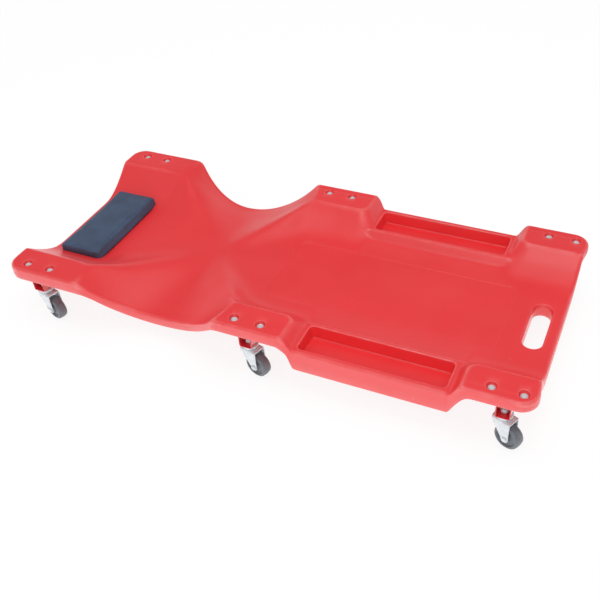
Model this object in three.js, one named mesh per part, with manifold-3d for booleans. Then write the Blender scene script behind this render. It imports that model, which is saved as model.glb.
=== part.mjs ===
// Mechanic creeper: a moulded lie-flat deck on six swivel casters, with a padded headrest.
// Millimetres, +Z up, +X towards the foot end. The origin is on the floor under the deck's centre.

import * as THREE from 'three';
import { mergeVertices } from 'three/addons/utils/BufferGeometryUtils.js';
import Module from 'manifold-3d';

const wasm = await Module();
wasm.setup();

// Fits, cutting and merging
const seatGap = 0.3;
const cutOver = 2;
const mergeTolerance = 0.0001;

// Deck: overall sizes
const deckLength = 1016;
const deckWidth = 468;
const deckTop = 120;
const cornerRadius = 30;
const edgeRound = 4;
const skirtChamfer = 1.5;

// Deck: heights of its main surfaces above the floor
const panelTop = 76;
const panelThickness = 23;
const seatTop = 69.5;
const waistTop = 72.5;
const waistThickness = 20;
const tabThickness = 20;
const ledgeTop = 93.5;
const trayUnder = 50;

// Deck: lengths of its zones, from the head end and from the foot end
const headTabLength = 166;
const headTabLean = 11;
const middleTabStart = -54.5;
const middleTabLength = 130.5;
const middleTabLean = 17;
const middleSkirtReach = 20;
const ledgeFallRun = 18.5;
const ledgeRiseRun = 21.5;
const traySkirtReach = 8;
const footTabLength = 119;
const footSkirtReach = 26;
const footEdgeHollow = 4;

// Places along the cut-out, as shares of the way from the head tab to the middle tab
const dipPlaceShare = 0.456;
const waistPlaceShare = 0.556;

// Deck: widths of its zones, from the rim inwards
const rimInset = 6.3;
const bracketDepth = 34;
const bracketInset = 7.7;
const underShift = 14;
const panelWallWidth = 58;
const seatWallWidth = 84;
const ledgeReach = 22.5;
const ledgeWallRun = 12;
const trayRimInset = 4.5;

// Arm cut-outs between the head and middle tabs
const dipBite = 38;
const dipTop = 50;
const dipThickness = 20;

// How far the rim skirts hang below the tabs' undersides
const headSkirtDrop = 5.5;
const middleSkirtDrop = 2.5;

// How long a skirt stays near a tab's level before it swings down to a tray's (a power)
const skirtFullness = 1.8;

// Shares across the wall between the flat floor and the tabs, and how high it has risen there
const wallRunShares = [0.36, 0.7];
const panelRiseShares = [0.13, 0.52];
const seatRiseShares = [0.3, 0.66];
const outerShares = [0, 1 / 3, 2 / 3, 1];

// Shares along the zones where the deck's sections stand
const cornerShares = [0, 0.35, 0.68, 0.92, 1];
const headStationShares = [0.3, 0.62, 0.85];
const headFallShares = [0, 0.14, 0.28, 0.44, 0.6, 0.76, 0.9, 1];
const middleRiseShares = [0.89, 0.77, 0.65, 0.52, 0.4, 0.28, 0.15, 0];
const middleTabShares = [0.35, 0.7, 0.86];
const ledgeStepShares = [0, 0.25, 0.5, 0.75, 1];
const trayStationShares = [0.33, 0.66];
const footTabShares = [0.13, 0.4, 0.75];

// Recessed lying panel
const insetSetback = 26;
const footApron = 100.3;
const insetMargin = 26;
const insetDepth = 0.8;
const insetCorner = 14;

// Tool trays
const trayEndLip = 5;
const trayInnerLip = 6.5;
const trayRim = 16;
const trayDepth = 24.5;
const trayDraft = 3;
const trayCorner = 9;

// Hand slot
const slotInset = 44;
const slotHalfLength = 59;
const slotHalfWidth = 17.5;
const slotFlare = 4;
const slotFlareDepth = 7;
const slotDraft = 2;

// Stiffening hollows in the underside, in a pattern of rows and columns under the lying panel
const hollowColumns = 3;
const hollowRows = 3;
const hollowDepth = 9;
const hollowDraft = 3;
const hollowRib = 34;
const hollowWidth = 34;
const hollowCorner = 11;

// Headrest
const padInset = 70.7;
const padSeatDepth = 1;
const padSeatMargin = 1.5;
const padLength = 212;
const padDepth = 89;
const padHeight = 19.5;
const padCrown = 2;
const padCorner = 9;
const padRound = 4;
const padDrawIn = 1.6;
const padSeamInset = 0.5;
const boardInset = 7;
const boardThickness = 5;
const boardCorner = 4;
const screwPitch = 120;
const screwRadius = 2.2;
const screwHeadRadius = 5;
const screwHeadHeight = 3;
const screwHeadEdge = 1;
const screwBite = 3.5;
const screwHoleRadius = 2.9;
const screwSinkRadius = 8;
const screwSinkDepth = 8;

// The cushion's side, from its foot up: shares of its height, of its rounding and of its draw-in
const padSideShares = [
  [0, 0.6, 0], [0.16, 0.12, 0.45], [0.46, 0, 1], [0.78, 0.04, 0.85], [0.93, 0.3, 0.4], [1, 0.85, 0.1],
];
// Its crowned top: shares of the half depth that are left, and of the crown's height
const padCrownShares = [[0.84, 0.4], [0.5, 0.82], [0.18, 1]];

// Casters: places along the deck and the way each one trails
const boltPitch = 51;
const headCasterInset = 63.8;
const middleCasterSet = 58.8;
const footCasterInset = 49.3;
const headTrailAngle = -17;
const middleTrailAngle = -15;
const footTrailAngle = -23;

// Deck bolts
const boltRadius = 3;
const boltHeadRadius = 6.2;
const boltHeadHeight = 3.6;
const boltHeadEdge = 0.9;
const boltCrownRadius = 4.5;
const boltCrownHeight = 2.9;
const boltHoleRadius = 3.8;
const boltTailLength = 3;
const dimpleRadius = 9;
const dimpleFloorRadius = 7.4;
const dimpleDepth = 6;
const boltNutRadius = 6.2;
const boltNutHeight = 5;

// Caster bracket, folded from one strip into a hat
const bracketBase = 70;
const bracketSheet = 2;
const channelWidth = 21;
const flangeLength = 21;
const bracketBend = 3;
const bracketInnerBend = 1;

// Swivel stem and its nut
const stemRadius = 4.7;
const stemHoleRadius = 5.3;
const stemRise = 13;
const rivetHeadRadius = 8;
const rivetHeadFootRadius = 6.4;
const rivetHeadHeight = 3;
const rivetHeadEdge = 1.5;
const stemNutRadius = 8;
const stemNutHeight = 7;

// Ball race cup between the bracket and the fork
const cupHeight = 8.4;
const cupRadius = 15;
const cupLipRadius = 12;
const cupWaistRadius = 12.6;
const cupShoulder = 2.4;

// Fork
const forkSheet = 2;
const forkRear = 16;
const forkFront = 21;
const forkCornerCut = 7;
const forkAxleBoss = 6.5;
const forkShoulderDrop = 9;
const forkRearDrawIn = 2;
const forkFrontDrawIn = 1;
const wheelSideGap = 0.5;

// Shares of a full turn between which the leg's lower end follows its round boss
const legArcShares = [0.46, 1.03];

// Wheel and axle
const wheelRadius = 24;
const wheelTrail = 14;
const hubHalfWidth = 10.6;
const treadHalfWidth = 9.6;
const treadEdgeRadius = 22.2;
const treadShoulderHalf = 8;
const rimLipRadius = 18.6;
const webOuterRadius = 16.2;
const webInnerRadius = 9.2;
const hubRadius = 7.6;
const webHalf = 6.2;
const axleRadius = 3;
const axleHoleRadius = 3.45;
const axleHeadRadius = 5;
const axleHeadHeight = 2.2;
const axleHeadDome = 0.8;

// Facet counts
const boltSides = 8;
const nutSides = 6;
const stemSides = 12;
const cupSides = 14;
const wheelSides = 18;
const holeSides = 10;
const arcSteps = 4;
const hollowSteps = 3;
const boardSteps = 2;
const padCornerSteps = 4;
const padSideParts = 6;
const legArcSteps = 6;

// Colours and finishes
const deckFinish = { color: 0xe02d33, roughness: 0.38, metalness: 0 };
const padFinish = { color: 0x4b5d75, roughness: 0.72, metalness: 0 };
const boardFinish = { color: 0x8a6b48, roughness: 0.85, metalness: 0 };
const bracketFinish = { color: 0xc81f28, roughness: 0.35, metalness: 0.2 };
const zincFinish = { color: 0xc9ced2, roughness: 0.3, metalness: 0.95 };
const wheelFinish = { color: 0x3b3e42, roughness: 0.6, metalness: 0 };

const mix = (a, b, t) => a + (b - a) * t;
const eased = (t) => (1 - Math.cos(Math.PI * Math.min(Math.max(t, 0), 1))) / 2;
const rad = THREE.MathUtils.degToRad;

// Places across the deck
const halfLength = deckLength / 2;
const halfWidth = deckWidth / 2;
const casterHalfGauge = halfWidth - rimInset - bracketDepth / 2;
const tabInnerHalf = casterHalfGauge - bracketDepth / 2 - bracketInset - underShift;
const panelFlatHalf = tabInnerHalf - panelWallWidth;
const seatFlatHalf = tabInnerHalf - seatWallWidth;
const ledgeInnerHalf = tabInnerHalf - ledgeReach;
const trayOuterHalf = halfWidth - trayRimInset;
const dipHalf = halfWidth - dipBite;
const trayInner = ledgeInnerHalf + trayInnerLip;
const trayOuter = halfWidth - trayRim;
const insetHalf = panelFlatHalf - insetMargin;

// Places along the deck
const headTabEnd = -halfLength + headTabLength;
const headTabInnerEnd = headTabEnd - headTabLean;
const middleTabInnerStart = middleTabStart + middleTabLean;
const middleTabEnd = middleTabStart + middleTabLength;
const middleSkirtEnd = middleTabEnd - middleSkirtReach;
const dipX = mix(headTabEnd, middleTabStart, dipPlaceShare);
const waistX = mix(headTabInnerEnd, middleTabInnerStart, waistPlaceShare);
const ledgeStart = middleTabEnd + ledgeFallRun;
const footTabStart = halfLength - footTabLength;
const ledgeEnd = footTabStart - ledgeRiseRun;
const insetStart = middleTabStart + insetSetback;
const insetEnd = halfLength - footApron;
const trayStart = ledgeStart + trayEndLip;
const trayEnd = ledgeEnd - trayEndLip;
const slotX = halfLength - slotInset;
const padX = -halfLength + padInset;
const headCasterX = -halfLength + headCasterInset;
const middleCasterX = middleTabStart + middleCasterSet;
const footCasterX = halfLength - footCasterInset;

// Heights that follow from the deck's thicknesses
const tabUnder = deckTop - tabThickness;
const panelUnder = panelTop - panelThickness;
const seatUnder = seatTop - waistThickness;
const padSeatFloor = seatTop - padSeatDepth;

function named(name, geometry, finish) {
  const mesh = new THREE.Mesh(geometry, new THREE.MeshStandardMaterial(finish));
  mesh.name = name;
  return mesh;
}

// Closed geometry with only its shared vertices and faces, without faces that have no area
function welded(geometry) {
  const bare = geometry.clone();
  bare.deleteAttribute('normal');
  bare.deleteAttribute('uv');
  const merged = mergeVertices(bare, mergeTolerance);
  const kept = [];
  for (let i = 0; i < merged.index.count; i += 3) {
    const [a, b, c] = [0, 1, 2].map((k) => merged.index.getX(i + k));
    if (a !== b && b !== c && c !== a) kept.push(a, b, c);
  }
  merged.setIndex(kept);
  return merged;
}

function toSolid(geometry) {
  const closed = welded(geometry);
  return new wasm.Manifold(new wasm.Mesh({
    numProp: 3,
    vertProperties: new Float32Array(closed.attributes.position.array),
    triVerts: new Uint32Array(closed.index.array),
  }));
}

function toGeometry(solid) {
  const mesh = solid.getMesh();
  const geometry = new THREE.BufferGeometry();
  geometry.setAttribute('position', new THREE.BufferAttribute(new Float32Array(mesh.vertProperties), 3));
  geometry.setIndex([...mesh.triVerts]);
  return geometry.toNonIndexed();
}

function finished(geometry) {
  const out = geometry.index ? geometry.toNonIndexed() : geometry;
  out.computeVertexNormals();
  return out;
}

function cut(body, tools) {
  const left = tools.reduce((solid, tool) => solid.subtract(toSolid(tool)), toSolid(body));
  return finished(toGeometry(left));
}

function joined(pieces) {
  const whole = pieces.slice(1).reduce((solid, piece) => solid.add(toSolid(piece)), toSolid(pieces[0]));
  return finished(toGeometry(whole));
}

// A revolved solid about the Z axis from [radius, height] pairs that run upwards on the outside
function turned(profile, sides) {
  const points = profile.map(([radius, height]) => new THREE.Vector2(radius, height));
  return welded(new THREE.LatheGeometry(points, sides)).rotateX(Math.PI / 2);
}

// A revolved ring whose profile closes on itself
function turnedRing(profile, sides) {
  return turned([...profile, profile[0]], sides);
}

// A straight cylinder between two heights
function post(radius, low, high, sides) {
  return new THREE.CylinderGeometry(radius, radius, high - low, sides)
    .rotateX(Math.PI / 2).translate(0, 0, (low + high) / 2);
}

// Points of a rectangle with rounded corners, half sizes a and b, anticlockwise
function roundedOutline(a, b, corner, steps = arcSteps) {
  const points = [];
  for (let quarter = 0; quarter < 4; quarter += 1) {
    const sx = quarter === 0 || quarter === 3 ? 1 : -1;
    const sy = quarter < 2 ? 1 : -1;
    for (let k = 0; k <= steps; k += 1) {
      const angle = (quarter + k / steps) * Math.PI / 2;
      points.push([
        sx * (a - corner) + corner * Math.cos(angle), sy * (b - corner) + corner * Math.sin(angle),
      ]);
    }
  }
  return points;
}

// A closed solid through rings of equal point counts, each a list of [x, y, z], lowest ring first
function lofted(rings) {
  const count = rings[0].length;
  const positions = rings.flat(2);
  const index = [];
  for (let r = 0; r + 1 < rings.length; r += 1) {
    for (let k = 0; k < count; k += 1) {
      const [a, b] = [r * count + k, r * count + (k + 1) % count];
      index.push(a, b, b + count, a, b + count, a + count);
    }
  }
  const last = (rings.length - 1) * count;
  for (let k = 1; k + 1 < count; k += 1) {
    index.push(0, k + 1, k);
    index.push(last, last + k, last + k + 1);
  }
  const geometry = new THREE.BufferGeometry();
  geometry.setAttribute('position', new THREE.Float32BufferAttribute(positions, 3));
  geometry.setIndex(index);
  return geometry;
}

function ring(outline, z, x = 0, y = 0) {
  return outline.map(([px, py]) => [px + x, py + y, z]);
}

// A drafted pocket with rounded corners: wide at its mouth, narrower by the draft at its floor
function pocket(x, y, a, b, corner, mouth, floor, draft, steps = arcSteps) {
  const past = mouth + Math.sign(mouth - floor) * cutOver;
  const wide = roundedOutline(a, b, corner, steps);
  const tight = roundedOutline(a - draft, b - draft, corner - draft / 2, steps);
  const rings = [ring(tight, floor, x, y), ring(wide, mouth, x, y), ring(wide, past, x, y)];
  return lofted(mouth > floor ? rings : rings.reverse());
}

// Height gained on an arc that starts level and has climbed `rise` after `span`
function arcRise(distance, span, rise) {
  const radius = (span * span + rise * rise) / (2 * rise);
  return radius - Math.sqrt(radius * radius - distance * distance);
}

// Rim of the arm cut-out: half width and height at a place x along the deck
function dipRim(x) {
  const span = x < dipX ? dipX - headTabEnd : middleTabStart - dipX;
  const rimHalf = halfWidth - edgeRound;
  return {
    half: dipHalf - edgeRound + arcRise(x - dipX, span, rimHalf - dipHalf + edgeRound),
    top: dipTop + arcRise(x - dipX, span, deckTop - dipTop),
  };
}

// Half width of the top surface near the deck's rounded ends
function endHalf(x) {
  const into = Math.abs(x) - (halfLength - cornerRadius);
  const radius = cornerRadius - edgeRound;
  const rimHalf = halfWidth - edgeRound;
  return into <= 0 ? rimHalf : rimHalf - radius + Math.sqrt(Math.max(radius * radius - into * into, 0));
}

// One cross-section of the deck. Inner values hold from the centre line out to the wall's top
// edge, outer values at the rim, so a section may run slantwise from its inner to its outer place.
function section(values) {
  return {
    outerX: values.innerX, floor: panelTop, under: panelUnder, flat: panelFlatHalf, edge: tabInnerHalf,
    edgeTop: deckTop, edgeUnder: tabUnder, rimTop: deckTop, rimUnder: tabUnder, seatShare: 0, ...values,
  };
}

function headSections() {
  const inner = halfLength - edgeRound;
  const bend = cornerRadius - edgeRound;
  const corner = cornerShares.slice().reverse().map((share) => -inner + bend * (1 - share));
  const straight = headStationShares.map((share) => mix(-inner + bend, headTabInnerEnd, share));
  return [...corner, ...straight].map((x) => section({
    innerX: x, rim: endHalf(x), floor: seatTop, under: seatUnder, flat: seatFlatHalf,
    skirt: tabUnder - headSkirtDrop, seatShare: 1,
  }));
}

// The shoulder zone: the two wall edges run straight from the tabs' inner corners and meet at the
// waist point on the centre line, and the deck falls away outside them to the cut-out's rim.
function shoulderSections() {
  const sides = [
    { corner: headTabInnerEnd, tabEnd: headTabEnd, floor: seatTop, flat: seatFlatHalf, seat: 1,
      under: seatUnder, skirtDrop: headSkirtDrop, shares: headFallShares },
    { corner: middleTabInnerStart, tabEnd: middleTabStart, floor: panelTop, flat: panelFlatHalf, seat: 0,
      under: panelUnder, skirtDrop: middleSkirtDrop, shares: middleRiseShares },
  ];
  const sections = [];
  for (const side of sides) {
    for (const share of side.shares) {
      const outerX = mix(side.tabEnd, dipX, share);
      const rim = dipRim(outerX);
      const edgeTop = mix(deckTop, waistTop, share);
      const rimUnder = rim.top - mix(tabThickness, dipThickness, share);
      sections.push(section({
        innerX: mix(side.corner, waistX, share), outerX, rim: rim.half, rimTop: rim.top, edgeTop,
        floor: mix(side.floor, waistTop, share), under: mix(side.under, waistTop - waistThickness, share),
        flat: mix(side.flat, 0, share), edge: mix(tabInnerHalf, 0, share),
        edgeUnder: edgeTop - tabThickness, rimUnder, seatShare: side.seat,
        skirt: rimUnder - side.skirtDrop * Math.max(1 - share / side.shares.find((s) => s > 0 && s < 1), 0),
      }));
    }
  }
  return sections;
}

// From a tab (share 0) down to the tray's ledge (share 1)
function ledgeStep(share, x, outerX, skirt) {
  const fall = eased(share);
  const edge = mix(tabInnerHalf, ledgeInnerHalf, fall);
  return section({
    innerX: x, outerX, edge, flat: mix(panelFlatHalf, ledgeInnerHalf - ledgeWallRun, fall),
    edgeTop: mix(deckTop, ledgeTop, fall), rimTop: mix(deckTop, ledgeTop, fall),
    rim: mix(halfWidth, trayOuterHalf, fall) - edgeRound, edgeUnder: mix(tabUnder, panelUnder, fall),
    rimUnder: mix(tabUnder, trayUnder, fall), skirt,
  });
}

// Share of the drop from a tab's skirt to a tray's, at a share of the way
function skirtFall(share) {
  return eased(Math.max(share, 0) ** skirtFullness);
}

function middleSections() {
  const skirtLevel = tabUnder - middleSkirtDrop;
  const skirtRun = ledgeStart + traySkirtReach - middleSkirtEnd;
  const skirtAt = (x) => mix(skirtLevel, trayUnder, skirtFall((x - middleSkirtEnd) / skirtRun));
  const tab = middleTabShares.map((share) => mix(middleTabInnerStart, middleTabEnd, share));
  return [
    ...tab.map((x) => ledgeStep(0, x, x, skirtAt(x))),
    ...ledgeStepShares.map((share) => {
      const x = mix(middleTabEnd, ledgeStart, share);
      return ledgeStep(share, x, x, skirtAt(x));
    }),
  ];
}

function footSections() {
  const skirtEnd = footTabStart + footSkirtReach;
  const skirtRun = skirtEnd - ledgeEnd;
  const skirtAt = (x) => mix(tabUnder, trayUnder, skirtFall((skirtEnd - x) / skirtRun));
  const inner = halfLength - edgeRound;
  const bend = cornerRadius - edgeRound;
  const trayPlaces = [0, ...trayStationShares].map((share) => (
    mix(ledgeStart + traySkirtReach, ledgeEnd, share)));
  const tab = footTabShares.map((share) => mix(footTabStart, inner - bend, share));
  const corner = cornerShares.map((share) => inner - bend * (1 - share));
  return [
    ...trayPlaces.map((x) => ledgeStep(1, x, x, trayUnder)),
    ...ledgeStepShares.map((share) => {
      const x = mix(ledgeEnd, footTabStart, share);
      return ledgeStep(1 - share, x, x, skirtAt(x));
    }),
    ...tab.map((x) => ledgeStep(0, x, x, skirtAt(x))),
    ...corner.map((x, k) => section({
      innerX: x - footEdgeHollow * k / (corner.length - 1), outerX: x, rim: endHalf(x), skirt: tabUnder,
    })),
  ];
}

// Points of one section from the centre line to the rim: on top, and underneath
function sectionPoints(s) {
  const rise = wallRunShares.map((_, k) => mix(panelRiseShares[k], seatRiseShares[k], s.seatShare));
  const wall = wallRunShares.map((run, k) => [mix(s.flat, s.edge, run), mix(s.floor, s.edgeTop, rise[k])]);
  const shift = 1 + underShift / tabInnerHalf;
  const underWall = wallRunShares.map((run, k) => [
    mix(s.flat, s.edge, run) * shift, mix(s.under, s.edgeUnder, rise[k]),
  ]);
  const top = [[0, s.floor], [s.flat, s.floor], ...wall].map(([y, z]) => [s.innerX, y, z]);
  const under = [[0, s.under], [s.flat * shift, s.under], ...underWall].map(([y, z]) => [s.innerX, y, z]);
  for (const share of outerShares) {
    const x = mix(s.innerX, s.outerX, share);
    top.push([x, mix(s.edge, s.rim, share), mix(s.edgeTop, s.rimTop, share)]);
    under.push([x, mix(s.edge * shift, s.rim, share), mix(s.edgeUnder, s.rimUnder, share)]);
  }
  return { top, under, skirt: s.skirt };
}

// The moulded deck: a grid of top points and one of underside points, joined round the rim by a
// rounded edge, a plain skirt and its chamfered foot.
function deckShell() {
  const sections = [...headSections(), ...shoulderSections(), ...middleSections(), ...footSections()];
  const rows = sections.map(sectionPoints);
  const across = 2 * rows[0].top.length - 1;
  const middle = rows[0].top.length - 1;
  const mirrored = (points, j) => {
    const [x, y, z] = points[Math.abs(j - middle)];
    return [x, j < middle ? -y : y, z];
  };
  const positions = [];
  const index = [];
  const place = (grid) => rows.map((row) => Array.from({ length: across }, (_, j) => {
    positions.push(...mirrored(row[grid], j));
    return positions.length / 3 - 1;
  }));
  const top = place('top');
  const under = place('under');
  const quad = (a, b, c, d) => index.push(a, b, c, a, c, d);
  for (let i = 0; i + 1 < rows.length; i += 1) {
    for (let j = 0; j + 1 < across; j += 1) {
      quad(top[i][j], top[i + 1][j], top[i + 1][j + 1], top[i][j + 1]);
      quad(under[i][j], under[i][j + 1], under[i + 1][j + 1], under[i + 1][j]);
    }
  }
  const rim = [];
  for (let i = 0; i < rows.length; i += 1) rim.push([i, 0]);
  for (let j = 1; j < across; j += 1) rim.push([rows.length - 1, j]);
  for (let i = rows.length - 2; i >= 0; i -= 1) rim.push([i, across - 1]);
  for (let j = across - 2; j > 0; j -= 1) rim.push([0, j]);
  const at = (list, k) => new THREE.Vector3().fromArray(positions, list[k] * 3);
  const topRim = rim.map(([i, j]) => top[i][j]);
  const underRim = rim.map(([i, j]) => under[i][j]);
  const count = rim.length;
  const slope = Math.SQRT1_2;
  const rings = [[], [], [], [], []];
  for (let k = 0; k < count; k += 1) {
    const before = at(topRim, (k + count - 1) % count);
    const here = at(topRim, k);
    const after = at(topRim, (k + 1) % count);
    const along = new THREE.Vector2(after.x - before.x, after.y - before.y).normalize();
    const out = [along.y, -along.x];
    const low = at(underRim, k).z;
    const [i, j] = rim[k];
    const onSide = j === 0 || j === across - 1;
    const foot = onSide ? Math.min(rows[i].skirt, low) : low;
    const levels = [
      [edgeRound * slope, here.z - edgeRound * (1 - slope)],
      [edgeRound, here.z - edgeRound],
      [edgeRound, foot + skirtChamfer],
      [edgeRound - skirtChamfer, foot],
      [0, foot],
    ];
    levels.forEach(([offset, z], r) => {
      positions.push(here.x + out[0] * offset, here.y + out[1] * offset, z);
      rings[r].push(positions.length / 3 - 1);
    });
  }
  const bands = [topRim, ...rings, underRim];
  for (let r = 0; r + 1 < bands.length; r += 1) {
    for (let k = 0; k < count; k += 1) {
      const next = (k + 1) % count;
      quad(bands[r][k], bands[r + 1][k], bands[r + 1][next], bands[r][next]);
    }
  }
  const geometry = new THREE.BufferGeometry();
  geometry.setAttribute('position', new THREE.Float32BufferAttribute(positions, 3));
  geometry.setIndex(index);
  return geometry;
}

// Places of the six casters, with the sign of the side and the trail direction of each
const casterPlaces = [
  ['head', headCasterX, headTrailAngle],
  ['middle', middleCasterX, middleTrailAngle],
  ['foot', footCasterX, footTrailAngle],
].flatMap(([zone, x, angle]) => [
  { name: `${zone}_left`, x, side: 1, angle },
  { name: `${zone}_right`, x, side: -1, angle },
]);

function boltTool(x, y) {
  const seat = deckTop - dimpleDepth;
  return turned([
    [0, tabUnder - cutOver], [boltHoleRadius, tabUnder - cutOver], [boltHoleRadius, seat],
    [dimpleFloorRadius, seat], [dimpleRadius, deckTop], [dimpleRadius, deckTop + cutOver],
    [0, deckTop + cutOver],
  ], holeSides).translate(x, y, 0);
}

// The hand slot: flared at its mouth, then drawn in a little towards the underside
function slotTool() {
  const b = slotHalfLength;
  const a = slotHalfWidth;
  const outline = (grow) => roundedOutline(a + grow, b + grow, a + grow - seatGap, 2 * arcSteps);
  const level = [
    [-slotDraft, panelUnder - cutOver], [-slotDraft, panelUnder], [0, panelTop - slotFlareDepth],
    [slotFlare, panelTop], [slotFlare, panelTop + cutOver],
  ];
  return lofted(level.map(([grow, z]) => ring(outline(grow), z, slotX)));
}

function trayTool(side) {
  const x = (trayStart + trayEnd) / 2;
  const y = side * (trayInner + trayOuter) / 2;
  const a = (trayEnd - trayStart) / 2;
  const b = (trayOuter - trayInner) / 2;
  return pocket(x, y, a, b, trayCorner, ledgeTop, ledgeTop - trayDepth, trayDraft);
}

function insetTool() {
  const outline = roundedOutline((insetEnd - insetStart) / 2, insetHalf, insetCorner);
  const x = (insetStart + insetEnd) / 2;
  return lofted([ring(outline, panelTop - insetDepth, x), ring(outline, panelTop + cutOver, x)]);
}

function hollowTools() {
  const pitchX = (insetEnd - insetStart) / hollowColumns;
  const pitchY = 2 * insetHalf / hollowRows;
  const tools = [];
  for (let row = 0; row < hollowRows; row += 1) {
    for (let column = 0; column < hollowColumns; column += 1) {
      const x = insetStart + pitchX * (column + 1 / 2);
      const y = -insetHalf + pitchY * (row + 1 / 2);
      tools.push(pocket(x, y, (pitchX - hollowRib) / 2, hollowWidth / 2, hollowCorner,
        panelUnder, panelUnder + hollowDepth, hollowDraft, hollowSteps));
    }
  }
  return tools;
}

// The cushion's seat: a shallow recess that also cuts its ends into the rising walls
function padSeatTool() {
  const outline = roundedOutline(padDepth / 2 + padSeatMargin, padLength / 2 + padSeatMargin, padCorner);
  return lofted([ring(outline, padSeatFloor, padX), ring(outline, seatTop + padHeight, padX)]);
}

function screwTool(side) {
  const low = seatUnder;
  return turned([
    [0, low - cutOver], [screwSinkRadius, low - cutOver], [screwSinkRadius, low + screwSinkDepth],
    [screwHoleRadius, low + screwSinkDepth], [screwHoleRadius, seatTop + cutOver], [0, seatTop + cutOver],
  ], holeSides).translate(padX, side * screwPitch / 2, 0);
}

function deckGeometry() {
  const bolts = casterPlaces.flatMap(({ x, side }) => [-1, 1].map((end) => (
    boltTool(x + end * boltPitch / 2, side * casterHalfGauge))));
  return cut(deckShell(), [
    ...bolts, slotTool(), trayTool(1), trayTool(-1), insetTool(), ...hollowTools(), padSeatTool(),
    screwTool(1), screwTool(-1),
  ]);
}

// The cushion: rounded rings that draw in between their corners, under a crowned top, with a recess
// below for its board
function cushionGeometry() {
  const low = padSeatFloor + seatGap;
  const a = padDepth / 2;
  const b = padLength / 2;
  const drawn = ([x, y], amount, shrink) => {
    const pinchX = Math.sin(Math.PI * (1 - Math.abs(y) / b) / 2);
    const pinchY = Math.sin(Math.PI * (1 - Math.abs(x) / a) / 2);
    const inX = Math.abs(x) > a - padCorner ? amount * pinchX : 0;
    const inY = Math.abs(y) > b - padCorner ? amount * pinchY : 0;
    return [(x - Math.sign(x) * inX) * (1 - shrink / a), (y - Math.sign(y) * inY) * (1 - shrink / b)];
  };
  const corners = roundedOutline(a, b, padCorner, padCornerSteps);
  const outline = corners.flatMap((point, k) => {
    const next = corners[(k + 1) % corners.length];
    const parts = (k + 1) % (padCornerSteps + 1) === 0 ? padSideParts : 1;
    return Array.from({ length: parts }, (_, n) => (
      [mix(point[0], next[0], n / parts), mix(point[1], next[1], n / parts)]));
  });
  const side = padSideShares.map(([up, round, draw]) => ring(
    outline.map((point) => drawn(point, padDrawIn * draw, padRound * round)), low + padHeight * up));
  const reach = a - padRound - padSeamInset;
  const top = padCrownShares.map(([left, lift]) => {
    const scaleX = left * reach / a;
    const scaleY = (b - a + left * reach) / b;
    return ring(outline.map(([x, y]) => [x * scaleX, y * scaleY]), low + padHeight + padCrown * lift);
  });
  const body = lofted([...side, ...top]).translate(padX, 0, 0);
  const board = roundedOutline(a - boardInset + seatGap, b - boardInset + seatGap, boardCorner, boardSteps);
  const recess = lofted([
    ring(board, low - cutOver, padX), ring(board, low + boardThickness + seatGap, padX),
  ]);
  return cut(body, [recess]);
}

function boardGeometry() {
  const outline = roundedOutline(
    padDepth / 2 - boardInset, padLength / 2 - boardInset, boardCorner, boardSteps);
  const low = padSeatFloor + seatGap;
  const blank = lofted([ring(outline, low, padX), ring(outline, low + boardThickness, padX)]);
  return cut(blank, [-1, 1].map((side) => (
    post(screwRadius + seatGap, low - cutOver, low + screwBite + seatGap, holeSides)
      .translate(padX, side * screwPitch / 2, 0))));
}

function screwGeometry(side) {
  const head = seatUnder + screwSinkDepth - seatGap;
  return finished(turned([
    [0, head - screwHeadHeight], [screwHeadRadius, head - screwHeadEdge], [screwHeadRadius, head],
    [screwRadius, head], [screwRadius, padSeatFloor + seatGap + screwBite],
    [0, padSeatFloor + seatGap + screwBite],
  ], boltSides).translate(padX, side * screwPitch / 2, 0));
}

function headrest() {
  const group = new THREE.Group();
  group.add(named('headrest_cushion', cushionGeometry(), padFinish));
  group.add(named('headrest_board', boardGeometry(), boardFinish));
  group.add(named('headrest_screw_left', screwGeometry(1), zincFinish));
  group.add(named('headrest_screw_right', screwGeometry(-1), zincFinish));
  return group;
}

// A domed bolt with its nut drawn up under the bracket's flange
function boltGeometry() {
  const seat = deckTop - dimpleDepth + seatGap;
  const nutTop = tabUnder - bracketSheet - 2 * seatGap;
  const nutLow = nutTop - boltNutHeight;
  const shank = turned([
    [0, nutLow - boltTailLength], [boltRadius, nutLow - boltTailLength], [boltRadius, seat],
    [boltHeadRadius, seat], [boltHeadRadius, seat + boltHeadEdge],
    [boltCrownRadius, seat + boltCrownHeight], [0, seat + boltHeadHeight],
  ], boltSides);
  return joined([shank, post(boltNutRadius, nutLow, nutTop, nutSides)]);
}

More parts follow.
